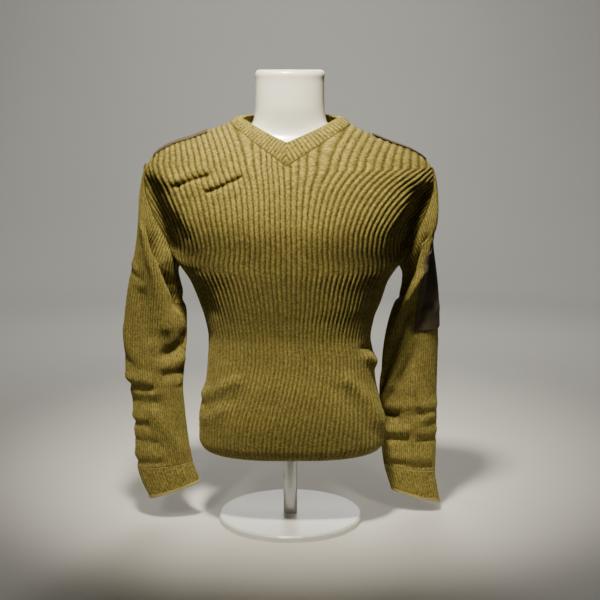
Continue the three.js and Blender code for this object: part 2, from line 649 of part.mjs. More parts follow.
function addStand() {
  const profile = [
    [0, 0],
    [BASE_RADIUS, 0],
    [BASE_RADIUS, BASE_HEIGHT - BASE_BEVEL],
    [BASE_RADIUS - BASE_BEVEL, BASE_HEIGHT],
    [0, BASE_HEIGHT],
  ].map(([r, h]) => new THREE.Vector2(r, h));
  const base = add('stand_base', new THREE.LatheGeometry(profile, 40), ENAMEL);
  base.rotation.x = Math.PI / 2;
  const length = FORM[0].z - BASE_HEIGHT - 2 * SEAM;
  const pole = add('stand_pole', new THREE.CylinderGeometry(POLE_RADIUS, POLE_RADIUS, length, 20), STEEL);
  pole.rotation.x = Math.PI / 2;
  pole.position.z = BASE_HEIGHT + SEAM + length / 2;
}

addPanel(-1);
addPanel(1);
for (const hand of [-1, 1]) {
  const name = hand < 0 ? 'left' : 'right';
  addTube(`sleeve_${name}`, hand, SLEEVE_ROWS, SLEEVE_RIBS, true);
  addTube(`cuff_${name}`, hand, CUFF_ROWS, CUFF_RIBS, false);
}
addNeckband();
addShoulderPatch(-1);
addShoulderPatch(1);
addElbowPatch(-1);
addElbowPatch(1);
addForm();
addStand();

export default group;
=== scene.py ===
import bpy
import numpy as np
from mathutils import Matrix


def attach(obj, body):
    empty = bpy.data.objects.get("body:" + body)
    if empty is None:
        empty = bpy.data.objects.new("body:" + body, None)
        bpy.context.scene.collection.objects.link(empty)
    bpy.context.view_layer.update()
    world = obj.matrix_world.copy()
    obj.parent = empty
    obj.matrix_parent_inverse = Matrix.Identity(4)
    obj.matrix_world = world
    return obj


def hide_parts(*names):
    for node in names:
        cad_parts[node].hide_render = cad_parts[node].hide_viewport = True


# Ribbed V-neck army sweater on a limbless torso form. Shapes are worked out in millimetres, the front
# faces -Y, and left and right are the viewer's.
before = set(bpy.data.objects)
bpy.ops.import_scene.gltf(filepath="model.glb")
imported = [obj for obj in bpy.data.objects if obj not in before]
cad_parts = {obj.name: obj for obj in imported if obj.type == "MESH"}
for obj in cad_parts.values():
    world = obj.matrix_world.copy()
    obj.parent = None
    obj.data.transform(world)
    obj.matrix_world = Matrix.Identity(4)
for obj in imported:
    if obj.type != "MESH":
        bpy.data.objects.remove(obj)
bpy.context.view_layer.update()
millimetre = 0.001
print("frame loaded:", len(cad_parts), "nodes")

# Camera at the photograph's angle: place in metres, tilt in degrees below level, lens in millimetres
view = {"place": (0.0175, -2.2, 0.79), "tilt": 9.93, "lens": 75.42}
cameraData = bpy.data.cameras.new("camera")
cameraData.lens = view["lens"]
cameraObject = bpy.data.objects.new("camera", cameraData)
cameraObject.location = view["place"]
cameraObject.rotation_euler = (np.radians(90 - view["tilt"]), 0, 0)
bpy.context.collection.objects.link(cameraObject)
bpy.context.scene.camera = cameraObject


# Small maths used by every surface
def ease(s):  # s² (3 − 2s) between 0 and 1
    c = np.clip(s, 0, 1)
    return c * c * (3 - 2 * c)


def mix(a, b, s):  # a + (b − a) s
    return a + (b - a) * s


def power(value, exponent):  # |value| to a power, with value's sign kept
    return np.sign(value) * np.abs(value) ** exponent


# Named columns read smoothly between rows: a cubic whose slope at a row is the harmonic mean of the two
# secants, or 0 where they differ in sign.
class Table:
    def __init__(self, names, *rows):
        columns = np.array(rows, float).T
        self.key = columns[0]
        self.columns = dict(zip(names.split(), columns))

    def __call__(self, name, value):
        key, y = self.key, self.columns[name]
        v = np.clip(value, key[0], key[-1])
        i = np.clip(np.searchsorted(key, v, side="right") - 1, 0, len(key) - 2)
        step = np.diff(key)
        secant = np.diff(y) / step
        both = secant[:-1] * secant[1:]
        total = np.where(both > 0, secant[:-1] + secant[1:], 1)
        slope = np.concatenate([secant[:1], np.where(both > 0, 2 * both / total, 0), secant[-1:]])
        s = (v - key[i]) / step[i]
        bend = (1 - s) * slope[i] - s * slope[i + 1]
        return y[i] + (y[i + 1] - y[i]) * s * s * (3 - 2 * s) + step[i] * s * (1 - s) * bend


# Sum over folds of push · exp(−(gap / width)²), gap being the distance of (a, b) from the fold's line, which
# bows sideways by bow · sin(π t) at its share t. A fold is (a, b, to a, to b, push, width, bow).
def strokes(folds, a, b):
    push = np.zeros(np.broadcast(a, b).shape)
    for a0, b0, a1, b1, depth, width, bow in folds:
        long = np.hypot(a1 - a0, b1 - b0)
        along = ((a - a0) * (a1 - a0) + (b - b0) * (b1 - b0)) / long
        aside = ((b - b0) * (a1 - a0) - (a - a0) * (b1 - b0)) / long
        share = np.clip(along / long, 0, 1)
        over = along - share * long
        push += depth * np.exp(-((aside - bow * np.sin(np.pi * share)) ** 2 + over ** 2) / width ** 2)
    return push


# The body: level sections with their middle, half width and depths, the armhole's distance from the
# middle, and the shoulder ridge's height in front and behind, less the drop on the right
body = Table("z mid half front back",
             (129, 3, 118, 60, 66), (133, 3, 144, 80, 86), (141, 3, 159, 93, 98), (156, 3, 166, 100, 105),
             (196, 2, 164.5, 102, 105), (229, 1, 158, 99, 98), (263, 1, 150.5, 94, 90), (310, 1, 146, 88, 80),
             (340, -1, 143, 87, 76), (372, -1, 148, 91, 79), (405, 0, 159, 98, 86), (440, -1, 171, 105, 93),
             (470, -1, 190, 111, 98), (510, -1, 218, 116, 103), (550, -2, 239, 119, 106),
             (600, -2, 257, 118, 107), (650, -2, 264, 117, 107), (745, 3, 264, 117, 107))
armhole = Table("z x", (470, 190), (490, 203), (510, 212), (540, 226), (570, 239), (600, 248), (630, 250),
                (660, 247))
ridge = Table("x front back drop",
              (0, 724, 744, 0), (60, 721, 734, 1), (104, 717, 717, 3), (130, 708, 708, 6), (170, 693, 693, 8),
              (210, 679, 679, 9), (235, 662, 662, 8), (250, 641, 641, 6), (262, 610, 610, 4))
# Heights: hem, pit for the armpits, freeArmhole for the lowest rib's end, vPoint and nape. From the middle:
# the shoulder's tip and neck end. Ribs fan out above fan and crowd to the middle from crowdFrom to crowdTo.
# square, rollFront, rollBack and armPower are exponents. Hollows grow to full depth by hollowFade above
# the armpits, and are weaker where the body is less than shallow deep.
fit = {"hem": 129, "pit": 470, "freeArmhole": 530, "vPoint": 646, "nape": 706, "tip": 247, "neck": 104,
       "middle": -5, "fan": 520, "crowdFrom": 500, "crowdTo": 620, "square": 2.4, "rollFront": 2.5,
       "rollBack": 3.4, "armPower": 1.3, "halfRibs": 27.5, "changeRib": 4, "seam": 0.3, "seamTurn": 2.4,
       "wall": 1.5, "hollowFade": 40, "shallow": 70}

# Hollows where the empty sleeves pull the front in, as (x, z) to (x, z), push, width, bow
hollows = [(-249, 612, -204, 484, 50, 27, 3), (234, 596, 191, 484, 38, 19, -4)]

# Where the ribs end and how they fan, as (left, right): neckRib ends at the shoulder's neck end, tipRib at
# its tip
lean = {
    "front": {"neckRib": (6.8, 4.6), "tipRib": (22.8, 16.5), "neckSpread": (0.35, 0.35), "crowd": (0.2, 0.2),
              "fanPower": (3.2, 3.4)},
    "back": {"neckRib": (9, 9), "tipRib": (22.5, 22.5), "neckSpread": (0, 0), "crowd": (0.06, 0.06),
             "fanPower": (1.5, 1.5)},
}
neckSteps = np.linspace(0, 1, 400)


def sideName(side):
    return "front" if side < 0 else "back"


# The left value up to rib −changeRib, the right one from changeRib on, and between them a straight line
def ofSide(side, name, rib):
    left, right = lean[sideName(side)][name]
    return mix(left, right, (np.clip(rib / fit["changeRib"], -1, 1) + 1) / 2)


# A quarter section of half width 1 and depth q is x = sin(a)^(2/k), y = q cos(a)^(2/k). These hold its run
# from the middle at even steps of a, and a at even steps of the run, for even steps of q.
section = {"flattest": 0.35, "flatSteps": 66, "steps": 500, "lastCell": 1.001}
flatness = np.linspace(section["flattest"], 1, section["flatSteps"])
quarter = np.linspace(0, np.pi / 2, section["steps"])
quarterX = np.sin(quarter) ** (2 / fit["square"])
quarterY = np.abs(np.cos(quarter)) ** (2 / fit["square"])
quarterSteps = np.hypot(np.diff(quarterX)[None, :], flatness[:, None] * np.diff(quarterY)[None, :])
quarterRun = np.concatenate([np.zeros((len(flatness), 1)), np.cumsum(quarterSteps, 1)], 1)
evenRun = np.linspace(0, 1, section["steps"])
quarterAngle = np.array([np.interp(evenRun, run / run[-1], quarter) for run in quarterRun])


# Straight-line value between the four nearest cells of a table over flatness and a share from 0 to 1.
def readGrid(values, q, share):
    i = np.clip((q - flatness[0]) / (flatness[1] - flatness[0]), 0, len(flatness) - section["lastCell"])
    j = np.clip(share, 0, 1) * (values.shape[1] - section["lastCell"])
    i0, j0 = i.astype(int), j.astype(int)
    low = mix(values[i0, j0], values[i0, j0 + 1], j - j0)
    high = mix(values[i0 + 1, j0], values[i0 + 1, j0 + 1], j - j0)
    return mix(low, high, i - i0)


def ridgeHeight(side, x):
    return ridge(sideName(side), np.abs(x)) - np.where(x > 0, ridge("drop", np.abs(x)), 0)


# A depth less the hollows, which fade at the armpit and where the surface is shallow.
def sunk(depth, x, z):
    push = strokes(hollows, x, z) * ease((z - fit["pit"]) / fit["hollowFade"])
    return depth - push * ease(depth / fit["shallow"])


# Depth(z) · (1 − across^k)^(1/k) · (1 − climb^roll)^½, across being the share of the half width and climb
# the share of the way from the armpits to the shoulder ridge
def bodyDepth(side, x, z):
    across = np.clip(np.abs(x - body("mid", z)) / body("half", z), 0, 1)
    climb = np.clip((z - fit["pit"]) / (ridgeHeight(side, x) - fit["pit"]), 0, 1)
    roll = fit["rollFront"] if side < 0 else fit["rollBack"]
    rounding = (1 - across ** fit["square"]) ** (1 / fit["square"])
    depth = body(sideName(side), z) * rounding * np.sqrt(1 - climb ** roll)
    return sunk(depth, x, z) if side < 0 else depth


def armholeX(hand, z):
    return hand * armhole("x", z) + body("mid", z)


def tipHeight(hand):
    return ridgeHeight(-1, hand * np.array(float(fit["tip"])))


# Share of the neckline at a share s of its ribs: s (1 − spread + spread s⁶), so the last ribs lie along it
def neckShare(s, spread):
    return s * (1 - spread + spread * s ** 6)


# Upper end of a rib: on the neckline up to neckRib, on the shoulder ridge up to tipRib, then down the
# armhole.
def ribTop(side, rib):
    n, hand = np.abs(rib), np.where(rib < 0, -1, 1)
    neckRib, tipRib = ofSide(side, "neckRib", rib), ofSide(side, "tipRib", rib)
    share = neckShare(np.clip(n / neckRib, 0, 1), ofSide(side, "neckSpread", rib))
    shoulder = ridgeHeight(side, hand * float(fit["neck"]))
    if side < 0:
        neckX = hand * fit["neck"] * share + fit["middle"] * (1 - share)
        neckZ = mix(fit["vPoint"], shoulder, share)
    else:
        across = np.sin(share * np.pi / 2)
        neckX = hand * fit["neck"] * across
        neckZ = mix(fit["nape"], shoulder, across ** 2)
    ridgeX = hand * mix(fit["neck"], fit["tip"], (n - neckRib) / (tipRib - neckRib))
    left = np.clip((fit["halfRibs"] - n) / (fit["halfRibs"] - tipRib), 0, 1)
    armZ = mix(fit["freeArmhole"], tipHeight(hand), left ** (1 / fit["armPower"]))
    onNeck, onRidge = n < neckRib, n <= tipRib
    x = np.where(onNeck, neckX, np.where(onRidge, ridgeX, armholeX(hand, armZ)))
    z = np.where(onNeck, neckZ, np.where(onRidge, ridgeHeight(side, ridgeX), armZ))
    return x, z


# The rib that ends at a share of the neckline.
def ribAtNeck(side, hand, share):
    neckRib, spread = [lean[sideName(side)][name][0 if hand < 0 else 1] for name in ("neckRib", "neckSpread")]
    return hand * neckRib * np.interp(share, neckShare(neckSteps, spread), neckSteps)


# The rib that ends on the shoulder ridge at x from the middle.
def ribAtRidge(side, hand, x):
    neckRib, tipRib = [lean[sideName(side)][name][0 if hand < 0 else 1] for name in ("neckRib", "tipRib")]
    return hand * (neckRib + (tipRib - neckRib) * (x - fit["neck"]) / (fit["tip"] - fit["neck"]))


# The point of the level section whose run is the rib's share of the run to the seam. Above the armpits the
# ribs crowd to the middle: the share loses crowd · share (1 − share²).
def ribOnSection(side, rib, z):
    hand = np.where(rib < 0, -1, 1)
    half, depth = body("half", z), body(sideName(side), z)
    q = depth / half
    reach = np.where(z > fit["pit"], np.minimum(half, armhole("x", z)), half)
    seamAngle = np.arcsin(np.clip(reach / half, 0, 1) ** (fit["square"] / 2))
    atSeam = half * readGrid(quarterRun, q, seamAngle / (np.pi / 2))
    spare = fit["halfRibs"] - ofSide(side, "tipRib", rib)
    climb = np.clip((z - fit["freeArmhole"]) / (tipHeight(hand) - fit["freeArmhole"]), 0, 1)
    share = np.abs(rib) / (fit["halfRibs"] - spare * climb ** fit["armPower"])
    crowd = ofSide(side, "crowd", rib) * ease((z - fit["crowdFrom"]) / (fit["crowdTo"] - fit["crowdFrom"]))
    run = (atSeam - fit["seam"] / 2) * share * (1 - crowd * (1 - share ** 2))
    wholeRun = half * readGrid(quarterRun, q, np.ones_like(q))
    angle = readGrid(quarterAngle, q, run / wholeRun)
    x = half * np.sin(angle) ** (2 / fit["square"])
    y = depth * np.abs(np.cos(angle)) ** (2 / fit["square"])
    return body("mid", z) + hand * x, side * y


# z runs from the hem to the rib's upper end; below the armpits the point is on the level section, above them
# x keeps the rib's run and drifts to the rib's upper end by a power of the climb past the fan.
def bodyPoint(side, rib, rise):
    topX, topZ = ribTop(side, rib)
    z = mix(fit["hem"], topZ, rise)
    x, y = ribOnSection(side, rib, z)
    climb = np.clip((z - fit["fan"]) / np.maximum(topZ - fit["fan"], 1e-6), 0, 1)
    fan = climb ** ofSide(side, "fanPower", rib)
    shift = np.where(topZ > fit["fan"], (topX - ribOnSection(side, rib, topZ)[0]) * fan, 0)
    apart = fit["seam"] / 2 * ease((z - fit["pit"]) / (fit["vPoint"] - fit["pit"]))
    high = z > fit["pit"]
    x = np.where(high, x + shift, x)
    y = np.where(high, side * (bodyDepth(side, x, z) + apart), y)
    return np.stack([x, y, z], -1)


# Direction out of the body's surface over a point of the seam plane, from its slopes.
def bodyOutward(side, x, z):
    step = 0.01
    inX = x - np.where(x < 0, -step, step)
    slopeX = (bodyDepth(side, x, z) - bodyDepth(side, inX, z)) / (x - inX)
    slopeZ = (bodyDepth(side, inX, z) - bodyDepth(side, inX, z - step)) / step
    out = np.stack([-slopeX, np.full_like(slopeX, side), -slopeZ], -1)
    return out / np.linalg.norm(out, axis=-1, keepdims=True)


# Cross product of the slopes along columns and rows of a grid of points, of length 1.
def gridNormals(points, closed, turn):
    if closed:
        points = np.concatenate([points[:, -2:-1], points, points[:, 1:2]], 1)
    out = np.cross(np.gradient(points, axis=1), np.gradient(points, axis=0)) * turn
    out /= np.maximum(np.linalg.norm(out, axis=-1, keepdims=True), 1e-9)
    return out[:, 1:-1] if closed else out


# A mesh in metres from points in millimetres, faces as lists of corner numbers and a UV for each corner.
def finishMesh(name, points, faces, uv, material):
    mesh = bpy.data.meshes.new(name)
    sizes = np.concatenate([np.full(len(f), f.shape[1]) for f in faces])
    corners = np.concatenate([f.ravel() for f in faces])
    mesh.vertices.add(len(points))
    mesh.vertices.foreach_set("co", (points * millimetre).astype(np.float32).ravel())
    mesh.loops.add(len(corners))
    mesh.loops.foreach_set("vertex_index", corners.astype(np.int32))
    mesh.polygons.add(len(sizes))
    mesh.polygons.foreach_set("loop_start", (np.cumsum(sizes) - sizes).astype(np.int32))
    mesh.polygons.foreach_set("loop_total", sizes.astype(np.int32))
    if uv is not None:
        layer = mesh.uv_layers.new(name="knit")
        cornerUv = np.concatenate([values.reshape(-1, 2) for values in uv])
        layer.data.foreach_set("uv", cornerUv.astype(np.float32).ravel())
    mesh.update(calc_edges=True)
    mesh.shade_smooth()
    piece = bpy.data.objects.new(name, mesh)
    bpy.context.collection.objects.link(piece)
    mesh.materials.append(material)
    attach(piece, "root")
    return piece


# Closed wall between a fine outer grid and an inner grid that has every steps[0]-th row and steps[1]-th
# column of it; a closed grid repeats its first column. The rims are fans from each inner edge.
def clothWall(name, outer, inner, uv, steps, closed, material):
    rows, columns = outer.shape[:2]
    inRows, inColumns = inner.shape[:2]
    keep, inKeep = (columns - 1, inColumns - 1) if closed else (columns, inColumns)
    outIds = np.arange(rows)[:, None] * keep + np.arange(columns)[None, :] % keep
    inIds = rows * keep + np.arange(inRows)[:, None] * inKeep + np.arange(inColumns)[None, :] % inKeep
    points = np.concatenate([outer[:, :keep].reshape(-1, 3), inner[:, :inKeep].reshape(-1, 3)])
    inUv = uv[::steps[0], ::steps[1]]

    def cells(ids, flip):
        quad = np.stack([ids[:-1, :-1], ids[:-1, 1:], ids[1:, 1:], ids[1:, :-1]], -1)
        return (quad[..., ::-1] if flip else quad).reshape(-1, 4)

    def cellUv(values, flip):
        quad = np.stack([values[:-1, :-1], values[:-1, 1:], values[1:, 1:], values[1:, :-1]], -2)
        return (quad[..., ::-1, :] if flip else quad).reshape(-1, 4, 2)

    def rim(fine, coarse, fineUv, coarseUv, step, flip):
        first = np.arange(len(fine) - 1)
        near = (first + step // 2) // step
        spans = np.arange(len(coarse) - 1)
        middle = spans * step + (step + 1) // 2
        ids = np.concatenate([np.stack([fine[first], coarse[near], fine[first + 1]], -1),
                              np.stack([coarse[spans], coarse[spans + 1], fine[middle]], -1)])
        values = np.concatenate([np.stack([fineUv[first], coarseUv[near], fineUv[first + 1]], -2),
                                 np.stack([coarseUv[spans], coarseUv[spans + 1], fineUv[middle]], -2)])
        return (ids[:, ::-1], values[:, ::-1]) if flip else (ids, values)

    faces, uvs = [cells(outIds, False), cells(inIds, True)], [cellUv(uv, False), cellUv(inUv, True)]
    ends = [(0, slice(None), 1, False), (-1, slice(None), 1, True)]
    if not closed:
        ends += [(slice(None), 0, 0, True), (slice(None), -1, 0, False)]
    for row, column, axis, flip in ends:
        ids, values = rim(outIds[row, column], inIds[row, column], uv[row, column], inUv[row, column],
                          steps[axis], flip)
        faces.append(ids)
        uvs.append(values)
    return finishMesh(name, points, faces, uvs, material)


# height · (1 − |sin π count|^width): crests at whole counts, narrow valleys half way.
def ribHeight(count, height, width):
    return height * (1 - np.abs(np.sin(np.pi * count)) ** width)


# count + 1 places from straight lines through knots, so that rows lie closer where the surface bends.
def spread(knots, values, count):
    return np.interp(np.linspace(0, 1, count + 1), knots, values)


# Shader maths
# An output socket that can be written into sums; each operator adds a Math node.
class Wire:
    def __init__(self, shader, socket):
        self.shader, self.socket = shader, socket

    def maths(self, operation, *values):
        return self.shader.node("ShaderNodeMath", {"operation": operation}, dict(enumerate(values)))

    def __add__(self, other):
        return self.maths("ADD", self, other)

    def __sub__(self, other):
        return self.maths("SUBTRACT", self, other)

    def __rsub__(self, other):
        return self.maths("SUBTRACT", other, self)

    def __mul__(self, other):
        return self.maths("MULTIPLY", self, other)

    def __truediv__(self, other):
        return self.maths("DIVIDE", self, other)

    def __pow__(self, other):
        return self.maths("POWER", self, other)

    def __abs__(self):
        return self.maths("ABSOLUTE", self)

    __radd__, __rmul__ = __add__, __mul__

    def floor(self):
        return self.maths("FLOOR", self)

    def fraction(self):
        return self.maths("FRACT", self)

    def sine(self):
        return self.maths("SINE", self)

    # 0 below low, 1 above high, smooth between.
    def between(self, low, high):
        return self.shader.node("ShaderNodeMapRange", {"interpolation_type": "SMOOTHSTEP"},
                                {"Value": self, "From Min": low, "From Max": high})


# A material being built; every node comes from node().
class Shader:
    def __init__(self, name):
        self.material = bpy.data.materials.new(name)
        self.material.use_nodes = True
        self.tree = self.material.node_tree
        self.tree.nodes.clear()

    def node(self, kind, settings, inputs, output=0):
        made = self.tree.nodes.new(kind)
        for key, value in settings.items():
            setattr(made, key, value)
        for key, value in inputs.items():
            if isinstance(value, Wire):
                self.tree.links.new(value.socket, made.inputs[key])
            else:
                made.inputs[key].default_value = value
        return Wire(self, made.outputs[output])

    def blend(self, factor, a, b, how="MIX"):
        colours = [(*c, 1) if isinstance(c, tuple) else c for c in (a, b)]
        return self.node("ShaderNodeMix", {"data_type": "RGBA", "blend_type": how},
                         {0: factor, 6: colours[0], 7: colours[1]}, 2)

    def split(self, vector):
        made = self.tree.nodes.new("ShaderNodeSeparateXYZ")
        self.tree.links.new(vector.socket, made.inputs[0])
        return [Wire(self, socket) for socket in made.outputs]

    def join(self, x, y, z):
        return self.node("ShaderNodeCombineXYZ", {}, {0: x, 1: y, 2: z})

    def uv(self):
        return self.node("ShaderNodeUVMap", {"uv_map": "knit"}, {})

    def objectPlace(self):
        return self.node("ShaderNodeTexCoord", {}, {}, "Object")

    def noise(self, place, scale, detail=2.0, roughness=0.5):
        return self.node("ShaderNodeTexNoise", {}, {"Vector": place, "Scale": scale, "Detail": detail,
                                                    "Roughness": roughness})

    def chance(self, place):
        return self.node("ShaderNodeTexWhiteNoise", {"noise_dimensions": "3D"}, {"Vector": place})

    def bump(self, height, distance, strength):
        return self.node("ShaderNodeBump", {}, {"Height": height, "Distance": distance, "Strength": strength})

    # Principled surface; names are its sockets' with underscores for spaces.
    def finish(self, **sockets):
        named = {key.replace("_", " "): value for key, value in sockets.items()}
        surface = self.node("ShaderNodeBsdfPrincipled", {}, named)
        made = self.tree.nodes.new("ShaderNodeOutputMaterial")
        self.tree.links.new(surface.socket, made.inputs["Surface"])
        return self.material


# Olive wool in knit stitches. The UV holds the rib's count across and the course's count along. Valleys
# between ribs get painted shade, darker above shadeTo, in metres, than below shadeFrom.
wool = {"crest": (0.235, 0.19, 0.045), "valleyShade": (0.072, 0.055, 0.009), "pale": (0.44, 0.36, 0.1),
        "sheen": (0.8, 0.66, 0.22, 1), "vee": 0.55, "cloudScale": 9.0, "fleckScale": 380.0,
        "fibreScale": 1600.0, "shadeFrom": 0.32, "shadeTo": 0.52, "lowShade": 0.62}


def knitMaterial(name, wales, shift, valleyReach):
    shader = Shader(name)
    across, along, _ = shader.split(shader.uv())
    fromCrest = abs((across + 0.5).fraction() - 0.5) * 2
    wale = across * wales + shift
    aside = abs(wale.fraction() - 0.5) * 2  # 0 in a wale's middle, 1 at its edges
    course = along + aside * wool["vee"]  # each stitch is a V
    inCourse = abs(course.fraction() - 0.5) * 2
    tone = shader.chance(shader.join(wale.floor(), course.floor(), 0.0))
    place = shader.objectPlace()
    cloud = shader.noise(place, wool["cloudScale"], 3.0)
    fleck = shader.noise(place, wool["fleckScale"], 3.0, 0.7).between(0.56, 0.7)
    fibre = shader.noise(place, wool["fibreScale"], 2.0, 0.8)
    # Painted shade in the rib valleys: full above shadeTo, lowShade of it below shadeFrom
    high = shader.split(place)[2].between(wool["shadeFrom"], wool["shadeTo"])
    valleyShadeMask = fromCrest.between(valleyReach, 0.98) * (wool["lowShade"] + high * (1 - wool["lowShade"]))
    # light is random tone per stitch and in broad clouds, times painted shade where the stitches' courses
    # meet
    light = (0.5 + tone * 0.72) * (0.82 + cloud * 0.36) * (1.08 - inCourse * 0.2)
    colour = shader.blend(valleyShadeMask, wool["crest"], wool["valleyShade"])
    colour = shader.blend(fleck * 0.5, colour, wool["pale"])
    colour = shader.blend(1.0, colour, shader.join(light, light, light), "MULTIPLY")
    stitch = (1 - aside ** 2 * 0.7) * (1 - inCourse ** 2 * 0.75) + fibre * 0.5
    return shader.finish(Base_Color=colour, Roughness=0.93, Specular_IOR_Level=0.18, Sheen_Weight=0.15,
                         Sheen_Roughness=0.45, Sheen_Tint=wool["sheen"],
                         Normal=shader.bump(stitch, 0.0009, 0.75))


bodyWool = knitMaterial("olive_knit_body", 4, 0.0, 0.3)
sleeveWool = knitMaterial("olive_knit_sleeve", 2, 0.5, 0.5)
trimWool = knitMaterial("olive_knit_trim", 2, 0.5, 0.35)
cuffWool = knitMaterial("olive_knit_cuff", 2, 0.5, 0.6)
print("wool materials made")

# Course height, rib heights, and the grid's columns in a rib
knit = {"course": 2.3, "ribHeight": 2.5, "lowRibHeight": 1.5, "columns": 6}

# Front and back: crease lines as (x, z) to (x, z), push, width, bow. Rows lie closer where the surface
# bends: rowShares of the rows reach riseShares of the rise. Ribs lean by twist from twistFrom down to
# twistTo, and lose height from fadeFrom down to fadeTo. Creases fade at the top, sides and foot, and ribs lie
# calm along the slits.
panels = {
    "rows": 219, "innerEvery": (3, 3), "ribWidth": 2.0, "twist": 4.2, "twistFrom": 325, "twistTo": 140,
    "fadeFrom": 500, "fadeTo": 330, "rowShares": [0, 0.11, 0.76, 1], "riseShares": [0, 0.05, 0.84, 1],
    "topFade": 26, "sideFade": 0.6, "footFade": 20, "seamLoss": 0.45, "seamFade": 60,
    "calmWidth": 1.4, "calm": 0.8,
    "front": [(-190, 622, -140, 642, 2.6, 7, 2), (-138, 614, -84, 638, 1.6, 6, -2),
              (-172, 600, -134, 620, 2, 8, 0), (-128, 594, -88, 610, 1.6, 7, 0),
              (-228, 630, -170, 616, 4, 12, 0), (190, 628, 232, 618, 4, 12, 0),
              (-136, 572, -44, 540, 3.4, 38, 6), (44, 540, 138, 572, 3.4, 38, -6),
              (-160, 500, -60, 486, -1.8, 24, 6), (60, 486, 160, 500, -1.8, 24, -6),
              (100, 276, 160, 192, 5, 10, 5), (80, 262, 140, 182, -2.2, 12, 4),
              (-152, 238, -92, 274, 4.5, 10, 3), (-152, 226, -100, 240, -1.6, 9, 2),
              (-150, 200, -112, 226, 2.2, 9, 0), (-60, 262, 40, 250, 1.6, 16, 4),
              (136, 310, 152, 292, 7, 7.5, 0), (128, 328, 150, 322, -4, 6, 0),
              (-196, 500, -150, 440, 3.5, 14, 6), (-176, 480, -132, 396, -3, 12, 4),
              (192, 492, 150, 430, 3.2, 14, -6), (176, 470, 134, 392, -3, 12, -4),
              (-206, 560, -176, 530, -3.5, 12, 3), (206, 556, 176, 524, -3.5, 12, -3)],
    "slits": [(-191, 612, -138, 631, -6, 3.4, 1), (-138, 604, -82, 629, -4.6, 2.9, -1)],
    "back": [(-190, 500, -130, 430, 4, 14, 7), (-172, 474, -110, 392, -3.4, 12, 5),
             (188, 494, 128, 420, 3.8, 14, -7), (168, 470, 112, 386, -3.2, 12, -5),
             (-120, 372, -30, 352, -3.4, 9, 5), (20, 358, 122, 378, -3.0, 9, -6),
             (-92, 338, 30, 326, 2.6, 10, 3), (-142, 306, -60, 330, -2.2, 9, 3),
             (70, 322, 140, 300, -2.4, 9, 2),
             (-150, 612, -90, 636, -2.4, 9, 3), (96, 640, 160, 610, -2.6, 10, -3),
             (-60, 262, 70, 250, 2.0, 15, 5), (60, 246, 150, 210, 2.6, 11, 3),
             (-140, 240, -70, 214, -2.4, 10, 0)],
}


# bodyPoint over ribs and rises, pushed out by the creases, then by the ribs' height.
def makePanel(side):
    name = sideName(side)
    perRib = knit["columns"]
    ribs = np.linspace(-fit["halfRibs"], fit["halfRibs"], int(2 * fit["halfRibs"]) * perRib + 1)
    rises = spread(panels["rowShares"], panels["riseShares"], panels["rows"])
    rib, rise = np.meshgrid(ribs, rises)
    plain = bodyPoint(side, rib, rise)
    out = gridNormals(plain, False, -side)
    slits = panels["slits"] if side < 0 else []
    atEdge = ease((1 - rise) * panels["topFade"]) * ease((fit["halfRibs"] - np.abs(rib)) * panels["sideFade"])
    atEdge = atEdge * ease(rise * panels["footFade"])
    creased = plain + out * (strokes(panels[name] + slits, plain[..., 0], plain[..., 2]) * atEdge)[..., None]
    out = gridNormals(creased, False, -side)
    seamed = 1 - panels["seamLoss"] * (1 - ease((1 - rise) * panels["seamFade"]))
    twistSpan = panels["twistFrom"] - panels["twistTo"]
    turned = panels["twist"] * ease((panels["twistFrom"] - plain[..., 2]) / twistSpan)
    count = rib + turned * (1 - (rib / fit["halfRibs"]) ** 2) * -side
    calmLines = [(*line[:4], 1, line[5] * panels["calmWidth"], line[6]) for line in slits]
    calm = np.clip(strokes(calmLines, plain[..., 0], plain[..., 2]), 0, 1)
    low = ease((panels["fadeFrom"] - plain[..., 2]) / (panels["fadeFrom"] - panels["fadeTo"]))
    height = mix(knit["ribHeight"], knit["lowRibHeight"], low)
    lift = ribHeight(count, height, panels["ribWidth"]) * seamed * (1 - panels["calm"] * calm)
    outer = creased + out * lift[..., None]
    everyRow, everyColumn = panels["innerEvery"]
    inner = (creased - out * fit["wall"])[::everyRow, ::everyColumn]
    run = np.cumsum(np.linalg.norm(np.diff(plain, axis=0, prepend=plain[:1]), axis=-1), 0)
    uv = np.stack([count, run / knit["course"]], -1)
    piece = clothWall(name + "_cloth", outer, inner, uv, panels["innerEvery"], False, bodyWool)
    if side > 0:
        piece.data.flip_normals()
    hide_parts(name + "_panel")
    return piece


frontCloth = makePanel(-1)
backCloth = makePanel(1)
print("front and back made")

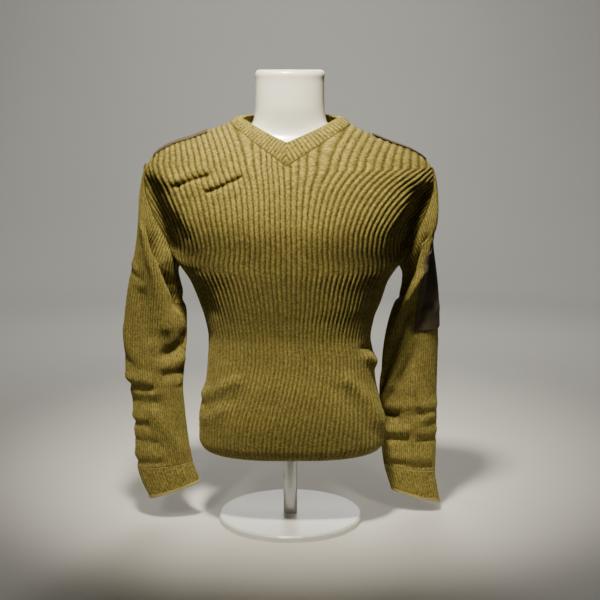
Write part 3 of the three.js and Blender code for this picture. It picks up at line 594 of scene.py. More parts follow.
# Sleeves: stations from the armhole (0) to the sleeve's end (11) and the cuff's end (13), with the outer edge
# (ox, oy, oz), the inner edge (ix, iy, iz) and the depths in front and behind
sleeves = {
    "left": Table("at ox oz ix iz oy iy front back",
                  (0, -247, 644, -191, 470, 0, 0, 45, 45), (1, -257, 610, -199, 462, 1, 4, 46, 46),
                  (2, -262, 570, -198, 450, 2, 8, 46, 46), (3, -268, 522, -195, 436, 2, 12, 44, 44),
                  (4, -277, 474, -189, 416, 2, 14, 40, 40), (5, -288, 422, -186, 388, 2, 14, 35, 36),
                  (6, -295, 362, -186, 346, 2, 12, 31, 32), (7, -296, 302, -190, 296, 2, 10, 28, 28),
                  (8, -289, 250, -194, 246, 2, 8, 26, 26), (9, -283, 200, -191, 200, 2, 6, 24, 24),
                  (10, -281, 150, -186, 154, 0, 4, 22, 22), (11, -277, 96, -178, 108, 0, 2, 20, 20),
                  (12, -269, 68, -172, 90, 0, 0, 19, 19), (13, -256, 40, -165, 72, 0, 0, 18, 18)),
    "right": Table("at ox oz ix iz oy iy front back",
                   (0, 246, 639, 189, 470, 0, 0, 45, 45), (1, 254, 602, 197, 462, 4, 6, 46, 46),
                   (2, 248, 562, 200, 449, 8, 12, 46, 46), (3, 250, 516, 199, 433, 12, 18, 44, 44),
                   (4, 256, 466, 192, 411, 16, 26, 40, 40), (5, 262, 414, 184, 382, 22, 34, 36, 36),
                   (6, 266, 354, 174, 338, 30, 42, 31, 31), (7, 267, 294, 168, 288, 36, 48, 28, 28),
                   (8, 267, 240, 164, 236, 40, 50, 25, 25), (9, 268, 188, 165, 186, 42, 50, 23, 23),
                   (10, 268, 136, 168, 138, 42, 48, 21, 21), (11, 267, 78, 174, 88, 42, 46, 20, 20),
                   (12, 271, 50, 180, 66, 42, 45, 19, 19), (13, 277, 19, 188, 42, 42, 44, 18, 18)),
}
# station and around are millimetres for a station and for half a turn, headShare and headAt put more rows at
# the armhole, and rings blend into the armhole up to reach and bow outwards up to bowReach
sleeveFit = {"reach": 1.6, "bow": 20, "bowReach": 4.5, "roundness": 0.9, "halfSteps": 72, "station": 48,
             "around": 130, "cuffTop": 11, "cuffEnd": 13, "cuffPart": 0.005, "rows": 179, "cuffRows": 27,
             "headShare": 0.08, "headAt": 0.5, "ribs": 62, "cuffRibs": 44, "ribHeight": 0.95,
             "cuffRibHeight": 0.75, "ribWidth": 2.4, "cuffRibWidth": 2.2, "growth": 1.5, "innerEvery": (3, 3),
             "seamReach": 0.5, "pitFrom": 0.8, "pitOver": 0.1}
# Folds as (at, around) to (at, around), push, width: around is 0 at the outer edge, 1 at the inner edge and
# below 0 behind. Each sleeve's long hollow comes first.
sleeveFolds = {
    "left": [(1.6, 0.62, 4.7, 0.9, -28, 22), (2.0, 0.32, 5.8, 0.62, 8, 12), (2.2, 0.54, 3.8, 0.72, -9, 14),
             (6.2, 0.9, 6.9, 0.72, -6, 14), (8.5, 0.1, 8.6, 0.5, -5, 12), (1.6, -0.5, 4.4, -0.85, -14, 20),
             (7.0, -0.3, 8.0, -0.8, -5, 16),
             (7.98, 0.0, 8.04, 0.44, -6, 5.5), (7.65, 0.0, 7.7, 0.4, 4.2, 9), (8.1, 0.46, 7.9, 0.85, 3.5, 9),
             (8.04, 0.44, 7.95, 0.9, -3, 6), (9.0, 0.45, 10.4, 0.8, 4, 13), (9.1, 0.3, 10.3, 0.38, -2.6, 8),
             (9.35, 0.0, 9.42, 0.3, -4, 6), (9.1, 0.05, 9.15, 0.3, 2.4, 7), (9.95, 0.04, 10.1, 0.44, -3, 6),
             (10.72, 0.0, 10.78, 0.5, -2.6, 5.5), (10.45, 0.02, 10.5, 0.5, 2, 7),
             (6.5, 0.98, 6.75, 0.66, -6, 10), (7.4, 0.98, 7.5, 0.66, -5, 7), (6.95, 0.9, 7.15, 0.6, 4, 10),
             (4.9, 0.3, 6.2, 0.42, -5, 11), (4.3, 0.05, 4.36, 0.26, -1.8, 6), (4.05, 0.02, 4.1, 0.2, 1.8, 7),
             (6.2, 0.05, 7.4, 0.35, 3, 12), (7.0, 0.06, 7.4, 0.4, -2.6, 9),
             (8.8, -0.1, 9.0, -0.6, -3.6, 8)],
    "right": [(1.5, 0.66, 3.8, 0.88, -24, 20), (1.2, 0.34, 4.4, 0.56, 6, 14), (3.4, 0.48, 6.0, 0.78, 9, 11),
              (3.4, 0.16, 7.6, 0.6, -11, 15), (9.0, 0.92, 9.1, 0.7, -5, 13),
              (1.6, -0.55, 4.2, -0.85, -14, 20), (6.4, -0.4, 7.4, -0.85, -6, 16),
              (5.4, 0.62, 7.9, 0.95, -11, 14), (6.3, 0.44, 8.4, 0.88, 5, 9),
              (9.02, 0.7, 9.08, 1.0, -7, 6), (8.88, 0.06, 8.93, 0.34, -4, 6), (8.6, 0.1, 8.7, 0.9, 3, 9),
              (9.9, 0.55, 9.98, 0.95, -7, 6),
              (9.58, 0.55, 9.6, 0.95, 4.4, 7), (9.9, 0.06, 9.98, 0.34, -5, 6), (9.6, 0.08, 9.66, 0.36, 3, 7),
              (10.75, 0.6, 10.85, 0.95, -4.6, 6), (10.8, 0.14, 10.86, 0.5, -4, 6),
              (10.5, 0.2, 10.55, 0.8, 3, 7),
              (8.9, 0.1, 9.5, 0.5, 3.4, 10), (7.6, 0.5, 9.0, 0.2, 3.6, 11), (8.2, 0.75, 8.7, 0.95, -3.6, 8),
              (5.1, 0.12, 5.3, 0.35, -2.6, 7), (5.4, 0.1, 5.5, 0.4, 1.8, 8),
              (8.4, -0.1, 8.7, -0.6, -3.6, 8)],
    "both": [(3.2, -0.2, 4.6, -0.5, 4, 12), (5.2, -0.25, 6.0, -0.7, -4, 10), (9.9, -0.3, 10.0, -0.8, -2.8, 8),
             (6.5, -0.1, 7.2, -0.4, 3, 10)],
}


# The armhole seam from the shoulder tip (0) to the armpit (1): z falls by (1 − cos π share) / 2.
def armholeLine(hand, side, share):
    z = mix(tipHeight(hand), fit["pit"], (1 - np.cos(np.pi * share)) / 2)
    x = armholeX(hand, z)
    return np.stack([x + hand * fit["seamTurn"], side * bodyDepth(side, x, z), z], -1)


# Each row's point at its own share of the row's run. The rows' shares are set end to end, two apart, so that
# one straight-line reading serves them all.
def readAlong(points, want):
    steps = np.linalg.norm(np.diff(points, axis=1), axis=-1)
    run = np.concatenate([np.zeros((len(points), 1)), np.cumsum(steps, 1)], 1)
    offset = np.arange(len(points))[:, None] * 2.0
    known = (run / run[:, -1:] + offset).ravel()
    asked = (np.broadcast_to(want, (len(points), want.shape[-1])) + offset).ravel()
    read = [np.interp(asked, known, points[..., k].ravel()) for k in range(3)]
    return np.stack(read, -1).reshape(len(points), -1, 3)


# Half rings, outer edge to inner edge: y is depth · sin(turn)^roundness. Near the body they also bow
# outwards, and the first ones blend into the armhole.
def halfRings(hand, side, at):
    table = sleeves["left" if hand < 0 else "right"]
    outer = np.stack([table(n, at) for n in ("ox", "oy", "oz")], -1)[:, None]
    inner = np.stack([table(n, at) for n in ("ix", "iy", "iz")], -1)[:, None]
    way = (outer - inner) / np.linalg.norm(outer - inner, axis=-1, keepdims=True)
    turn = np.linspace(0, np.pi, sleeveFit["halfSteps"] + 1)[None, :]
    bow = sleeveFit["bow"] * (1 - ease(at / sleeveFit["bowReach"]))[:, None] * np.sin(turn)
    points = mix(outer, inner, ((1 - np.cos(turn)) / 2)[..., None])
    points[..., 0] += hand * way[..., 2] * bow
    points[..., 1] += side * table(sideName(side), at)[:, None] * np.sin(turn) ** sleeveFit["roundness"]
    points[..., 2] -= hand * way[..., 0] * bow
    if side < 0:
        points[..., 1] = -sunk(-points[..., 1], points[..., 0], points[..., 2])
    stay = (1 - ease(at / sleeveFit["reach"]))[:, None, None]
    return mix(points, armholeLine(hand, side, turn / np.pi), stay)


# Plain rings at stations and places around, read at even arcs, then pushed by the folds.
def sleeveGrid(hand, at, around):
    name = "left" if hand < 0 else "right"
    frontHalf = readAlong(halfRings(hand, -1, at), np.abs(around)[None, :])
    backHalf = readAlong(halfRings(hand, 1, at), np.abs(around)[None, :])
    plain = np.where((around < 0)[None, :, None], backHalf, frontHalf)
    closed = around[0] == -1 and around[-1] == 1
    out = gridNormals(plain, closed, hand)
    stationMm, aroundMm = at[:, None] * sleeveFit["station"], around[None, :] * sleeveFit["around"]
    lines = [(a * sleeveFit["station"], b * sleeveFit["around"], c * sleeveFit["station"],
              d * sleeveFit["around"], push, width, 0)
             for a, b, c, d, push, width in sleeveFolds[name] + sleeveFolds["both"]]
    push = strokes(lines, stationMm, aroundMm) * ease(at)[:, None]
    points = plain + out * push[..., None]
    out = gridNormals(points, closed, hand)
    x, z = plain[0, :, 0] - hand * fit["seamTurn"], plain[0, :, 2]
    atBody = np.where((around < 0)[:, None], bodyOutward(1, x, z), bodyOutward(-1, x, z))
    nearPit = ease((np.abs(around) - sleeveFit["pitFrom"]) / sleeveFit["pitOver"])
    near = (1 - ease(at / sleeveFit["seamReach"]))[:, None] * (1 - nearPit)[None, :]
    out = mix(out, atBody[None], near[..., None])
    return points, out / np.linalg.norm(out, axis=-1, keepdims=True)


# A tube of the sleeve's rings with ribs along it, which grow from nothing at the armhole where fade is true.
def makeTube(name, node, hand, at, ribs, height, width, fade, material):
    around = np.linspace(-1, 1, ribs * knit["columns"] + 1)
    points, out = sleeveGrid(hand, at, around)
    count = (around + 1) / 2 * ribs
    grow = ease(at * sleeveFit["growth"]) if fade else np.ones_like(at)
    lift = ribHeight(count, height, width)[None, :] * grow[:, None]
    outer = points + out * lift[..., None]
    every = sleeveFit["innerEvery"]
    inner = (points - out * fit["wall"])[::every[0], ::every[1]]
    run = np.cumsum(np.linalg.norm(np.diff(points, axis=0, prepend=points[:1]), axis=-1), 0)
    uv = np.stack(np.broadcast_arrays(count[None, :], run / knit["course"]), -1)
    piece = clothWall(name, outer, inner, uv, every, True, material)
    if hand < 0:
        piece.data.flip_normals()
    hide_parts(node)
    return piece


sleeveCloth, cuffCloth = {}, {}
for hand, word in ((-1, "left"), (1, "right")):
    part = sleeveFit["cuffPart"]
    at = spread([0, sleeveFit["headShare"], 1], [0, sleeveFit["headAt"], sleeveFit["cuffTop"] - part],
                sleeveFit["rows"] + 1)
    sleeveCloth[word] = makeTube(f"sleeve_cloth_{word}", f"sleeve_{word}", hand, at, sleeveFit["ribs"],
                                 sleeveFit["ribHeight"], sleeveFit["ribWidth"], True, sleeveWool)
    at = np.linspace(sleeveFit["cuffTop"] + part, sleeveFit["cuffEnd"], sleeveFit["cuffRows"] + 1)
    cuffCloth[word] = makeTube(f"cuff_cloth_{word}", f"cuff_{word}", hand, at, sleeveFit["cuffRibs"],
                               sleeveFit["cuffRibHeight"], sleeveFit["cuffRibWidth"], False, cuffWool)
print("sleeves and cuffs made")

# Neckband: its inner edge runs from the V over the shoulders to the nape. pitch is a rib's width on each
# half. Counts start from 0 at the V and come back to it as mirror, both whole, so that the halves match.
band = {"front": (-5, -75, 687), "side": (82, -4, 724), "back": (62, 732), "bow": 5, "swell": 5,
        "rows": 30, "columns": 360, "firstRow": 0.055, "lastRib": 0.9999, "innerEvery": (3, 3),
        "ribHeight": 2.1, "ribWidth": 2.0, "pitch": {"left": 6.2, "right": 7.6}, "mirror": 200,
        "seamReach": 0.12, "rollEdge": 0.1, "rollFrom": 0.05, "rollSeam": 0.08}


# Straight lines from the body's neckline to the inner edge: the edge is a bowed line in front and a quarter
# ellipse behind, and its middle swells. way runs from the V (0) over the shoulder (0.5) to the nape (1).
def bandGrid(hand, way, across):
    way, across = way[None, :], across[:, None]
    inFront = way < 0.5
    along = np.where(inFront, way * 2, 2 - way * 2) * band["lastRib"]
    top = np.ones_like(along)
    seam = np.where(inFront[..., None], bodyPoint(-1, ribAtNeck(-1, hand, along), top),
                    bodyPoint(1, ribAtNeck(1, hand, along), top))
    share = way * 2
    bow = band["bow"] * np.sin(np.pi * share)
    (fx, fy, fz), (sx, sy, sz), (by, bz) = band["front"], band["side"], band["back"]
    frontEdge = np.stack([mix(fx, hand * sx, share) + hand * bow / 2, mix(fy, sy, share) - bow,
                          mix(fz, sz, share)], -1)
    angle = np.clip(way * 2 - 1, 0, 1) * np.pi / 2
    backEdge = np.stack([hand * sx * np.cos(angle), mix(sy, by, np.sin(angle)),
                         mix(sz, bz, np.sin(angle))], -1)
    edge = np.where(inFront[..., None], frontEdge, backEdge)
    points = mix(seam, edge, across[..., None])
    points[..., 2] += band["swell"] * np.sin(np.pi * across)
    return points


# Two halves of bandGrid, V to nape on the right and nape to V on the left, joined in one ring. The ribs stand
# square to the band: a point's count is the run of the band's middle line plus how far the point lies along
# that line.
def makeBand():
    across = np.linspace(band["firstRow"], 1, band["rows"] + 1)
    half = np.linspace(0, 1, band["columns"] // 2 + 1)
    grids, counts = [], []
    for hand, word in ((1, "right"), (-1, "left")):
        points = bandGrid(hand, half, across)
        middle = points[len(across) // 2]
        steps = np.linalg.norm(np.diff(middle, axis=0), axis=-1)
        run = np.concatenate([[0], np.cumsum(steps)])
        way = np.gradient(middle, axis=0)
        way /= np.linalg.norm(way, axis=-1, keepdims=True)
        along = ((points - middle[None]) * way[None]).sum(-1)
        ribs = round(run[-1] / band["pitch"][word])
        counts.append((run[None, :] + along) / run[-1] * ribs)
        grids.append(points)
    points = np.concatenate([grids[0], grids[1][:, -2::-1]], 1)
    count = np.concatenate([counts[0], band["mirror"] - counts[1][:, -2::-1]], 1)
    out = gridNormals(points, True, 1)
    behind = np.abs(np.linspace(0, 1, points.shape[1]) - 0.5) < 0.25
    x, z = points[0, :, 0], points[0, :, 2]
    atBody = np.where(behind[:, None], bodyOutward(1, x, z), bodyOutward(-1, x, z))
    near = (1 - ease((across - across[0]) / band["seamReach"]))[:, None, None]
    out = mix(out, atBody[None], near)
    out /= np.linalg.norm(out, axis=-1, keepdims=True)
    rollEdge = np.sqrt(np.clip((1 - across) / band["rollEdge"], 0, 1))
    rollSeam = np.sqrt(np.clip((across - band["rollFrom"]) / band["rollSeam"], 0, 1))
    lift = ribHeight(count, band["ribHeight"], band["ribWidth"]) * (rollEdge * rollSeam)[:, None]
    outer = points + out * lift[..., None]
    every = band["innerEvery"]
    inner = (points - out * fit["wall"])[::every[0], ::every[1]]
    width = np.linalg.norm(points[-1] - points[0], axis=-1)
    uv = np.stack([count, across[:, None] * width[None, :] / knit["course"]], -1)
    piece = clothWall("neckband_cloth", outer, inner, uv, every, True, trimWool)
    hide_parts("neckband")
    return piece


bandCloth = makeBand()
print("neckband made")

# Twill patches on the ribs, their edges rounded down and stitched on. An elbow patch is (station from, to,
# around from, to), around in eighteenths of half a turn from the outer edge.
patches = {"wall": 1.2, "edge": 2.2, "count": 66, "every": 3, "clear": 0.1, "thinnest": 0.12, "groove": 0.35,
           "grooveWidth": 1.1, "inset": 3.2,
           "shoulder": {"from": 142, "to": 236, "low": 0.87, "left": 1.006, "right": 1.002},
           "elbow": {"left": (4, 7.3, -16, -2), "right": (2.5, 6.05, -8.5, 8.4)}, "elbowUnit": 1 / 18}
twillLook = {"dark": (0.048, 0.035, 0.018), "light": (0.105, 0.076, 0.04), "dust": (0.19, 0.155, 0.1),
             "sheen": (0.7, 0.6, 0.5, 1), "ridge": 1.1, "thread": 0.42, "wander": 0.6}
threadLook = {"dark": (0.06, 0.038, 0.02), "light": (0.17, 0.12, 0.07), "scale": 1400.0}


def twillMaterial():
    shader = Shader("brown_twill")
    u, v, _ = shader.split(shader.uv())
    place = shader.objectPlace()
    wander = shader.noise(place, 60.0, 2.0) * twillLook["wander"]
    ridgeLine = (((u + v) / twillLook["ridge"] + wander) * (2 * np.pi)).sine() * 0.5 + 0.5
    threads = (u / twillLook["thread"] * (2 * np.pi)).sine() * (v / twillLook["thread"] * (2 * np.pi)).sine()
    threads = threads * 0.5 + 0.5
    cloud = shader.noise(place, 26.0, 3.0, 0.6)
    rub = shader.noise(place, 95.0, 3.0, 0.7).between(0.55, 0.75)
    colour = shader.blend(ridgeLine * 0.55 + threads * 0.2, twillLook["dark"], twillLook["light"])
    colour = shader.blend(rub * 0.22, colour, twillLook["dust"])
    shade = 0.78 + cloud * 0.42
    colour = shader.blend(1.0, colour, shader.join(shade, shade, shade), "MULTIPLY")
    return shader.finish(Base_Color=colour, Roughness=0.86, Specular_IOR_Level=0.25, Sheen_Weight=0.2,
                         Sheen_Roughness=0.5, Sheen_Tint=twillLook["sheen"],
                         Normal=shader.bump(ridgeLine * 0.7 + threads * 0.3, 0.0005, 0.6))


def threadMaterial():
    shader = Shader("brown_thread")
    place = shader.objectPlace()
    twist = shader.noise(place, threadLook["scale"], 2.0, 0.6)
    colour = shader.blend(twist, threadLook["dark"], threadLook["light"])
    return shader.finish(Base_Color=colour, Roughness=0.7, Normal=shader.bump(twist, 0.0003, 0.5))


twill, thread = twillMaterial(), threadMaterial()


# gap and share place a thread in its pitch, rise and sink its middle and ends over the cloth
stitching = {"pitch": 3.4, "radius": 0.34, "endShare": 0.55, "gap": 0.12, "share": 0.74, "rise": 0.75,
             "sink": 0.25, "steps": 7, "sides": 6}


# Short bowed threads along a closed line: each is a tube at height rise · sin(π t) − sink over the cloth at
# its share t, thickest in the middle, so that its ends dive into the cloth
def makeStitches(name, path, out):
    run = np.concatenate([[0], np.cumsum(np.linalg.norm(np.diff(path, axis=0), axis=-1))])
    count = int(run[-1] / stitching["pitch"])
    steps, sides = stitching["steps"], stitching["sides"]
    t = np.linspace(0, 1, steps)
    places = np.arange(count)[:, None] + stitching["gap"] + stitching["share"] * t[None, :]
    place = places * run[-1] / count
    centre = np.stack([np.interp(place, run, path[:, k]) for k in range(3)], -1)
    up = np.stack([np.interp(place, run, out[:, k]) for k in range(3)], -1)
    centre += up * (stitching["rise"] * np.sin(np.pi * t) - stitching["sink"])[None, :, None]
    way = np.gradient(centre, axis=1)
    way /= np.linalg.norm(way, axis=-1, keepdims=True)
    side = np.cross(way, up)
    side /= np.linalg.norm(side, axis=-1, keepdims=True)
    above = np.cross(side, way)
    turn = np.arange(sides) / sides * 2 * np.pi
    radius = stitching["radius"] * mix(stitching["endShare"], 1, np.sin(np.pi * t))[None, :, None, None]
    ring = side[:, :, None] * np.cos(turn)[:, None] + above[:, :, None] * np.sin(turn)[:, None]
    points = (centre[:, :, None] + ring * radius).reshape(-1, 3)
    first = np.arange(count)[:, None, None] * steps * sides
    j, k = np.arange(steps - 1)[None, :, None] * sides, np.arange(sides)[None, None, :]
    following = (k + 1) % sides
    quads = np.stack([first + j + k, first + j + sides + k, first + j + sides + following,
                      first + j + following], -1).reshape(-1, 4)
    low = first[:, 0] + np.arange(sides)
    high = first[:, 0] + (steps - 1) * sides + np.arange(sides)[::-1]
    return finishMesh(name, points, [quads, low, high], None, thread)


# The grid below, lifted over the crests. Within edge of its border the top comes down by a quarter circle,
# and along the stitches it has a groove: groove · exp(−((distance − inset) / grooveWidth)²).
def makePatch(name, node, points, out, turnOver):
    down = np.cumsum(np.linalg.norm(np.diff(points, axis=0, prepend=points[:1]), axis=-1), 0)
    sideways = np.cumsum(np.linalg.norm(np.diff(points, axis=1, prepend=points[:, :1]), axis=-1), 1)
    toEnds = np.minimum(down, down[-1:] - down)
    toSides = np.minimum(sideways, sideways[:, -1:] - sideways)
    fromEdge = np.minimum(toEnds, toSides)
    rounding = np.sqrt(np.clip(1 - (1 - np.clip(fromEdge / patches["edge"], 0, 1)) ** 2, 0, 1))
    groove = patches["groove"] * np.exp(-((fromEdge - patches["inset"]) / patches["grooveWidth"]) ** 2)
    low = knit["ribHeight"] + patches["clear"]
    top = low + patches["wall"] * mix(patches["thinnest"], 1, rounding) - groove
    every = patches["every"]
    outer, inner = points + out * top[..., None], (points + out * low)[::every, ::every]
    uv = np.stack([sideways, down], -1)
    piece = clothWall(name, outer, inner, uv, (every, every), False, twill)
    if turnOver:
        piece.data.flip_normals()
    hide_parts(node)
    inset = patches["inset"]
    rows, columns = points.shape[:2]
    a = max(1, round(inset / (down[-1].mean() / (rows - 1))))
    b = max(1, round(inset / (sideways[:, -1].mean() / (columns - 1))))
    edges = [(a, slice(b, columns - b)), (slice(a, rows - a), columns - 1 - b),
             (rows - 1 - a, slice(columns - 1 - b, b - 1, -1)), (slice(rows - 1 - a, a - 1, -1), b)]
    line = np.concatenate([outer[e] for e in edges] + [outer[a, b][None]])
    lineOut = np.concatenate([out[e] for e in edges] + [out[a, b][None]])
    return piece, makeStitches(name + "_stitches", line, lineOut)


# Seam cords: a cuff's are (station, lift off the cloth, radius); down, around and neck count the points
# along their lines
seams = {"radius": 1.25, "sides": 8, "twist": 2.4, "loop": 0.14, "spacing": 1.1, "sink": 0.5,
         "from": 0.03, "to": 0.985, "down": 160, "around": 132, "neck": 200, "neckAcross": 0.028,
         "step": 0.02,
         "cuff": {"start": (11.02, 0.5, 0.6), "rim": (12.99, -0.2, 1.8), "above": (12.88, 0.8, 0.9)},
         # dark and light colour the seam cords: the olive wool painted darker, as shade along the joins;
         # edgeDark and edgeLight are the pale cuff edges' own colour
         "dark": (0.035, 0.026, 0.005), "light": (0.13, 0.1, 0.022),
         "edgeDark": (0.17, 0.14, 0.045), "edgeLight": (0.5, 0.43, 0.17)}


# A tube along a closed line: at run r its ring has radius R (1 + loop · sin(2π r / twist)), so that it
# reads as overlocked loops. aside is never along the line.
def makeCord(name, path, aside, radius, material):
    steps = np.linalg.norm(np.diff(path, axis=0), axis=-1)
    run = np.concatenate([[0], np.cumsum(steps)])
    count = int(run[-1] / seams["spacing"])
    place = np.linspace(0, run[-1], count + 1)[:-1]
    centre = np.stack([np.interp(place, run, path[:, k]) for k in range(3)], -1)
    way = np.roll(centre, -1, 0) - np.roll(centre, 1, 0)
    way /= np.linalg.norm(way, axis=-1, keepdims=True)
    side = np.cross(way, aside)
    side /= np.linalg.norm(side, axis=-1, keepdims=True)
    above = np.cross(side, way)
    turn = np.arange(seams["sides"]) / seams["sides"] * 2 * np.pi
    loops = 1 + seams["loop"] * np.sin(2 * np.pi * place / run[-1] * round(run[-1] / seams["twist"]))
    ring = side[:, None] * np.cos(turn)[:, None] + above[:, None] * np.sin(turn)[:, None]
    points = centre[:, None] + ring * (radius * loops)[:, None, None]
    ids = np.arange(points.shape[0] * seams["sides"]).reshape(points.shape[0], -1)
    rows = np.concatenate([ids, ids[:1]])
    after = np.roll(rows, -1, 1)
    quads = np.stack([rows[:-1], rows[1:], after[1:], after[:-1]], -1).reshape(-1, 4)
    finishMesh(name, points.reshape(-1, 3), [quads], None, material)


def seamMaterial(name, dark, light):
    shader = Shader(name)
    place = shader.objectPlace()
    loop = shader.noise(place, 500.0, 2.0, 0.6)
    colour = shader.blend(loop, dark, light)
    return shader.finish(Base_Color=colour, Roughness=0.95, Specular_IOR_Level=0.15,
                         Normal=shader.bump(loop, 0.0006, 0.6))


# The seam cords' colour carries painted shade along the joins
shadedSeamWool = seamMaterial("olive_seam_shaded", seams["dark"], seams["light"])
edgeWool = seamMaterial("olive_edge", seams["edgeDark"], seams["edgeLight"])
down = np.linspace(seams["from"], seams["to"], seams["down"])
for hand, word in ((-1, "left"), (1, "right")):
    halves = []
    for side in (-1, 1):
        line = armholeLine(hand, side, down)
        out = bodyOutward(side, line[:, 0] - hand * fit["seamTurn"], line[:, 2])
        halves.append(line - out * seams["sink"])
    line = np.concatenate([halves[0], halves[1][::-1]])
    line[:, 0] -= hand * fit["seamTurn"] / 2
    makeCord("armhole_seam_" + word, np.concatenate([line, line[:1]]), (1, 0, 0.1), seams["radius"], shadedSeamWool)
    for spot, (station, lift, radius) in seams["cuff"].items():
        around = np.linspace(-1, 1, seams["around"] + 1)
        points, out = sleeveGrid(hand, np.array([station - seams["step"], station]), around)
        makeCord(f"cuff_{spot}_{word}", points[1] + out[1] * lift, (0.2 * hand, 0, 1), radius, edgeWool)
neckAcross = np.array([seams["neckAcross"]])
around = np.concatenate([bandGrid(1, np.linspace(0, 1, seams["neck"]), neckAcross)[0],
                         bandGrid(-1, np.linspace(1, 0, seams["neck"]), neckAcross)[0]])
makeCord("neck_seam", around, (0, 0.3, 1), seams["radius"], shadedSeamWool)
print("seams made")

patchCloth, patchStitches = {}, {}
for hand, word in ((-1, "left"), (1, "right")):
    shoulder = patches["shoulder"]
    ridgeX = hand * np.linspace(shoulder["from"], shoulder["to"], patches["count"] + 1)[::hand]
    rises = np.linspace(shoulder["low"], shoulder[word], patches["count"] + 1)
    x, rise = np.meshgrid(np.abs(ridgeX), rises)
    inFront = rise > 1  # past the ridge a patch comes down the front
    points = np.where(inFront[..., None], bodyPoint(-1, ribAtRidge(-1, hand, x), 2 - rise),
                      bodyPoint(1, ribAtRidge(1, hand, x), rise))
    out = gridNormals(points, False, -1)
    key = "shoulder_" + word
    patchCloth[key], patchStitches[key] = makePatch("shoulder_patch_cloth_" + word, "shoulder_patch_" + word,
                                                    points, out, True)
    low, high, first, last = patches["elbow"][word]
    around = np.linspace(first * patches["elbowUnit"], last * patches["elbowUnit"], patches["count"] + 1)
    points, out = sleeveGrid(hand, np.linspace(low, high, patches["count"] + 1), around)
    key = "elbow_" + word
    patchCloth[key], patchStitches[key] = makePatch("elbow_patch_cloth_" + word, "elbow_patch_" + word,
                                                    points, out, hand < 0)
print("patches made")

# The torso form: level sections as the CAD form's, with a rounded rim on its neck
form = Table("z mid half front back",
             (147, 3, 133, 71, 77), (153, 3, 147, 84, 89), (170, 3, 155, 91, 95), (205, 2, 154, 93, 95),
             (263, 1, 141, 85, 81), (310, 1, 136, 79, 71), (350, -1, 133, 78, 67), (405, 0, 148, 88, 76),
             (450, -1, 165, 97, 85), (510, -1, 187, 106, 93), (575, -1, 197, 104, 95), (620, -1, 200, 92, 92),
             (650, -2, 195, 75, 83), (672, -3, 177, 60, 71), (686.2, -5, 154, 50, 61),
             (695.2, -5, 127, 44, 54), (702, -2, 97, 41, 48), (708, 0, 74.5, 40.5, 44.5),
             (722, 0, 63, 42, 44), (745, 0, 60, 45, 44),
             (790, 0, 59.5, 46, 45), (798, 0, 60.5, 47, 46))
formLook = {"columns": 120, "rows": 150, "rimRadius": 8, "rimRows": 14, "capRows": 6, "capFrom": 0.02,
            "capTo": 0.9, "top": 807, "square": 2.25, "shade": (0.66, 0.64, 0.52),
            "light": (0.75, 0.73, 0.61), "speck": (0.55, 0.52, 0.45)}


def formMaterial():
    shader = Shader("white_gloss_plastic")
    place = shader.objectPlace()
    cloud = shader.noise(place, 7.0, 3.0, 0.5)
    speck = shader.noise(place, 160.0, 3.0, 0.7).between(0.66, 0.8)
    ripple = shader.noise(place, 34.0, 2.0, 0.4)
    colour = shader.blend(cloud, formLook["shade"], formLook["light"])
    colour = shader.blend(speck * 0.25, colour, formLook["speck"])
    return shader.finish(Base_Color=colour, Roughness=0.2 + cloud * 0.12 + speck * 0.1, Coat_Weight=0.35,
                         Coat_Roughness=0.08, Subsurface_Weight=0.05,
                         Normal=shader.bump(ripple, 0.0012, 0.12))


# x = half · sin^(2/k), y = depth · cos^(2/k) round each level section; a quarter circle closes the rim and
# rings shrink to the middle of the top and of the foot.
def makeForm():
    z = np.linspace(form.key[0], form.key[-1], formLook["rows"] + 1)
    turn = np.linspace(0, np.pi / 2, formLook["rimRows"])[1:]
    rim = formLook["top"] - form.key[-1]
    cap = np.ones(formLook["capRows"])
    shrink = np.linspace(formLook["capFrom"], formLook["capTo"], formLook["capRows"])
    levels = np.concatenate([z[0] * cap, z, z[-1] + rim * np.sin(turn), formLook["top"] * cap])
    inwards = np.concatenate([0 * cap, np.zeros_like(z), formLook["rimRadius"] * (1 - np.cos(turn)),
                              formLook["rimRadius"] * cap])
    scale = np.concatenate([shrink, np.ones_like(z), np.ones_like(turn), shrink[::-1]])
    angle = np.linspace(0, 2 * np.pi, formLook["columns"] + 1)
    sine, cosine = [power(f(angle), 2 / formLook["square"])[None, :] for f in (np.sin, np.cos)]
    half = ((form("half", levels) - inwards) * scale)[:, None]
    depth = np.where(cosine > 0, form("front", levels)[:, None], form("back", levels)[:, None])
    depth = (depth - inwards[:, None]) * scale[:, None]
    points = np.stack([form("mid", levels)[:, None] + half * sine, -depth * cosine,
                       np.broadcast_to(levels[:, None], depth.shape)], -1)[:, :-1]
    rows, columns = points.shape[:2]
    ids = np.arange(rows * columns).reshape(rows, columns)
    following = np.roll(ids, -1, 1)
    quads = np.stack([ids[:-1], following[:-1], following[1:], ids[1:]], -1).reshape(-1, 4)
    piece = finishMesh("torso_form", points.reshape(-1, 3), [quads, ids[:1, ::-1], ids[-1:]], None,
                       formMaterial())
    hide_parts("form_torso")


makeForm()
standLook = {"enamelShade": (0.62, 0.61, 0.58), "enamelLight": (0.7, 0.69, 0.66), "scuff": (0.45, 0.44, 0.42),
             "steelShade": (0.46, 0.46, 0.46), "steelLight": (0.62, 0.62, 0.63)}


def enamelMaterial():
    shader = Shader("satin_enamel")
    place = shader.objectPlace()
    cloud, grain = shader.noise(place, 12.0, 3.0), shader.noise(place, 700.0, 2.0)
    scuff = shader.noise(place, 60.0, 4.0, 0.7).between(0.6, 0.78)
    colour = shader.blend(cloud, standLook["enamelShade"], standLook["enamelLight"])
    colour = shader.blend(scuff * 0.2, colour, standLook["scuff"])
    return shader.finish(Base_Color=colour, Roughness=0.34 + scuff * 0.2,
                         Normal=shader.bump(grain, 0.0002, 0.25))


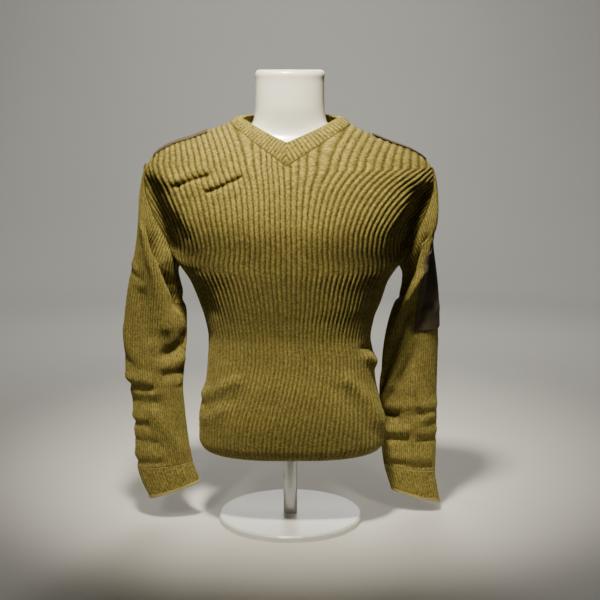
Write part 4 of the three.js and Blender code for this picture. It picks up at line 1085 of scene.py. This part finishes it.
def steelMaterial():
    shader = Shader("brushed_steel")
    place = shader.objectPlace()
    x, y, z = shader.split(place)
    brushed = shader.noise(shader.join(x * 40, y * 40, z * 3000), 1.0, 3.0, 0.6)
    cloud = shader.noise(place, 20.0)
    colour = shader.blend(brushed, standLook["steelShade"], standLook["steelLight"])
    return shader.finish(Base_Color=colour, Metallic=1.0, Roughness=0.26 + cloud * 0.12,
                         Normal=shader.bump(brushed, 0.0001, 0.3))


for node, material in (("stand_base", enamelMaterial()), ("stand_pole", steelMaterial())):
    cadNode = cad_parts[node]
    if not cadNode.material_slots:
        cadNode.data.materials.append(None)
    for cadSlot in cadNode.material_slots:
        cadSlot.material = material
print("form and stand made")

# Pale floor that curves up into a backdrop, in millimetres, and soft studio lights: place, aim, size in
# metres, watts, colour and spread in degrees
studio = {"width": 9000, "near": -5200, "bend": 2600, "radius": 1400, "turnSteps": 24, "height": 4200,
          "shade": (0.56, 0.545, 0.5), "light": (0.62, 0.605, 0.56), "world": (0.95, 0.95, 1.0, 1),
          "worldStrength": 0.035}
lights = {
    "key": ((-0.14, -0.76, 1.9), (-0.03, -0.1, 0.74), 0.2, 4.5, (1, 0.94, 0.8), 38),
    "front": ((-0.5, -2.6, 1.2), (0, 0, 0.4), 0.8, 0.4, (1, 0.95, 0.85), 120),
    "left_cuff": ((-0.55, -0.8, 0.85), (-0.23, 0, 0.12), 0.15, 0.08, (1, 0.95, 0.82), 24),
    "right_cuff": ((0.6, -0.8, 0.85), (0.24, 0, 0.12), 0.15, 0.08, (1, 0.95, 0.82), 24),
    "back": ((0.2, 2.3, 1.6), (0, 0, 0.5), 1.2, 13, (1, 0.97, 0.92), 120),
    "floor": ((0, 2.4, 3.2), (0, 3.4, 0.8), 1.6, 46, (1, 0.99, 0.96), 150),
}


# A flat run, a quarter circle and a rise, drawn as one profile and swept sideways
def makeBackdrop():
    turn = np.linspace(0, np.pi / 2, studio["turnSteps"])
    y = np.concatenate([[studio["near"]], studio["bend"] + studio["radius"] * np.sin(turn),
                        [studio["bend"] + studio["radius"]]])
    z = np.concatenate([[0], studio["radius"] * (1 - np.cos(turn)), [studio["height"]]])
    x = np.array([-studio["width"] / 2, studio["width"] / 2])
    points = np.stack(np.broadcast_arrays(x[None, :], y[:, None], z[:, None]), -1)
    ids = np.arange(len(y) * 2).reshape(-1, 2)
    quads = np.stack([ids[:-1, 0], ids[:-1, 1], ids[1:, 1], ids[1:, 0]], -1)
    shader = Shader("pale_paper")
    cloud = shader.noise(shader.objectPlace(), 1.3, 2.0)
    colour = shader.blend(cloud, studio["shade"], studio["light"])
    material = shader.finish(Base_Color=colour, Roughness=0.9, Specular_IOR_Level=0.2)
    mesh = bpy.data.meshes.new("backdrop")
    mesh.from_pydata((points.reshape(-1, 3) * millimetre).tolist(), [], quads.tolist())
    mesh.shade_smooth()
    mesh.materials.append(material)
    backdrop = bpy.data.objects.new("backdrop", mesh)
    bpy.context.collection.objects.link(backdrop)


def makeLight(name, place, aim, size, watts, colour, spread):
    data = bpy.data.lights.new(name, "AREA")
    data.size, data.energy, data.color, data.spread = size, watts, colour, np.radians(spread)
    light = bpy.data.objects.new(name, data)
    light.location = place
    way = np.array(aim, float) - np.array(place, float)
    light.rotation_euler = (np.arctan2(np.hypot(way[0], way[1]), -way[2]), 0, np.arctan2(-way[0], way[1]))
    bpy.context.collection.objects.link(light)


makeBackdrop()
for name, values in lights.items():
    makeLight(name, *values)
world = bpy.data.worlds.new("studio")
world.use_nodes = True
world.node_tree.nodes["Background"].inputs["Color"].default_value = studio["world"]
world.node_tree.nodes["Background"].inputs["Strength"].default_value = studio["worldStrength"]
bpy.context.scene.world = world
print("studio made")

# Each patch's cloth and stitches are looked up; nothing more is done with them
for word in ("left", "right"):
    patchCloth["shoulder_" + word]
    patchStitches["shoulder_" + word]
    patchCloth["elbow_" + word]
    patchStitches["elbow_" + word]
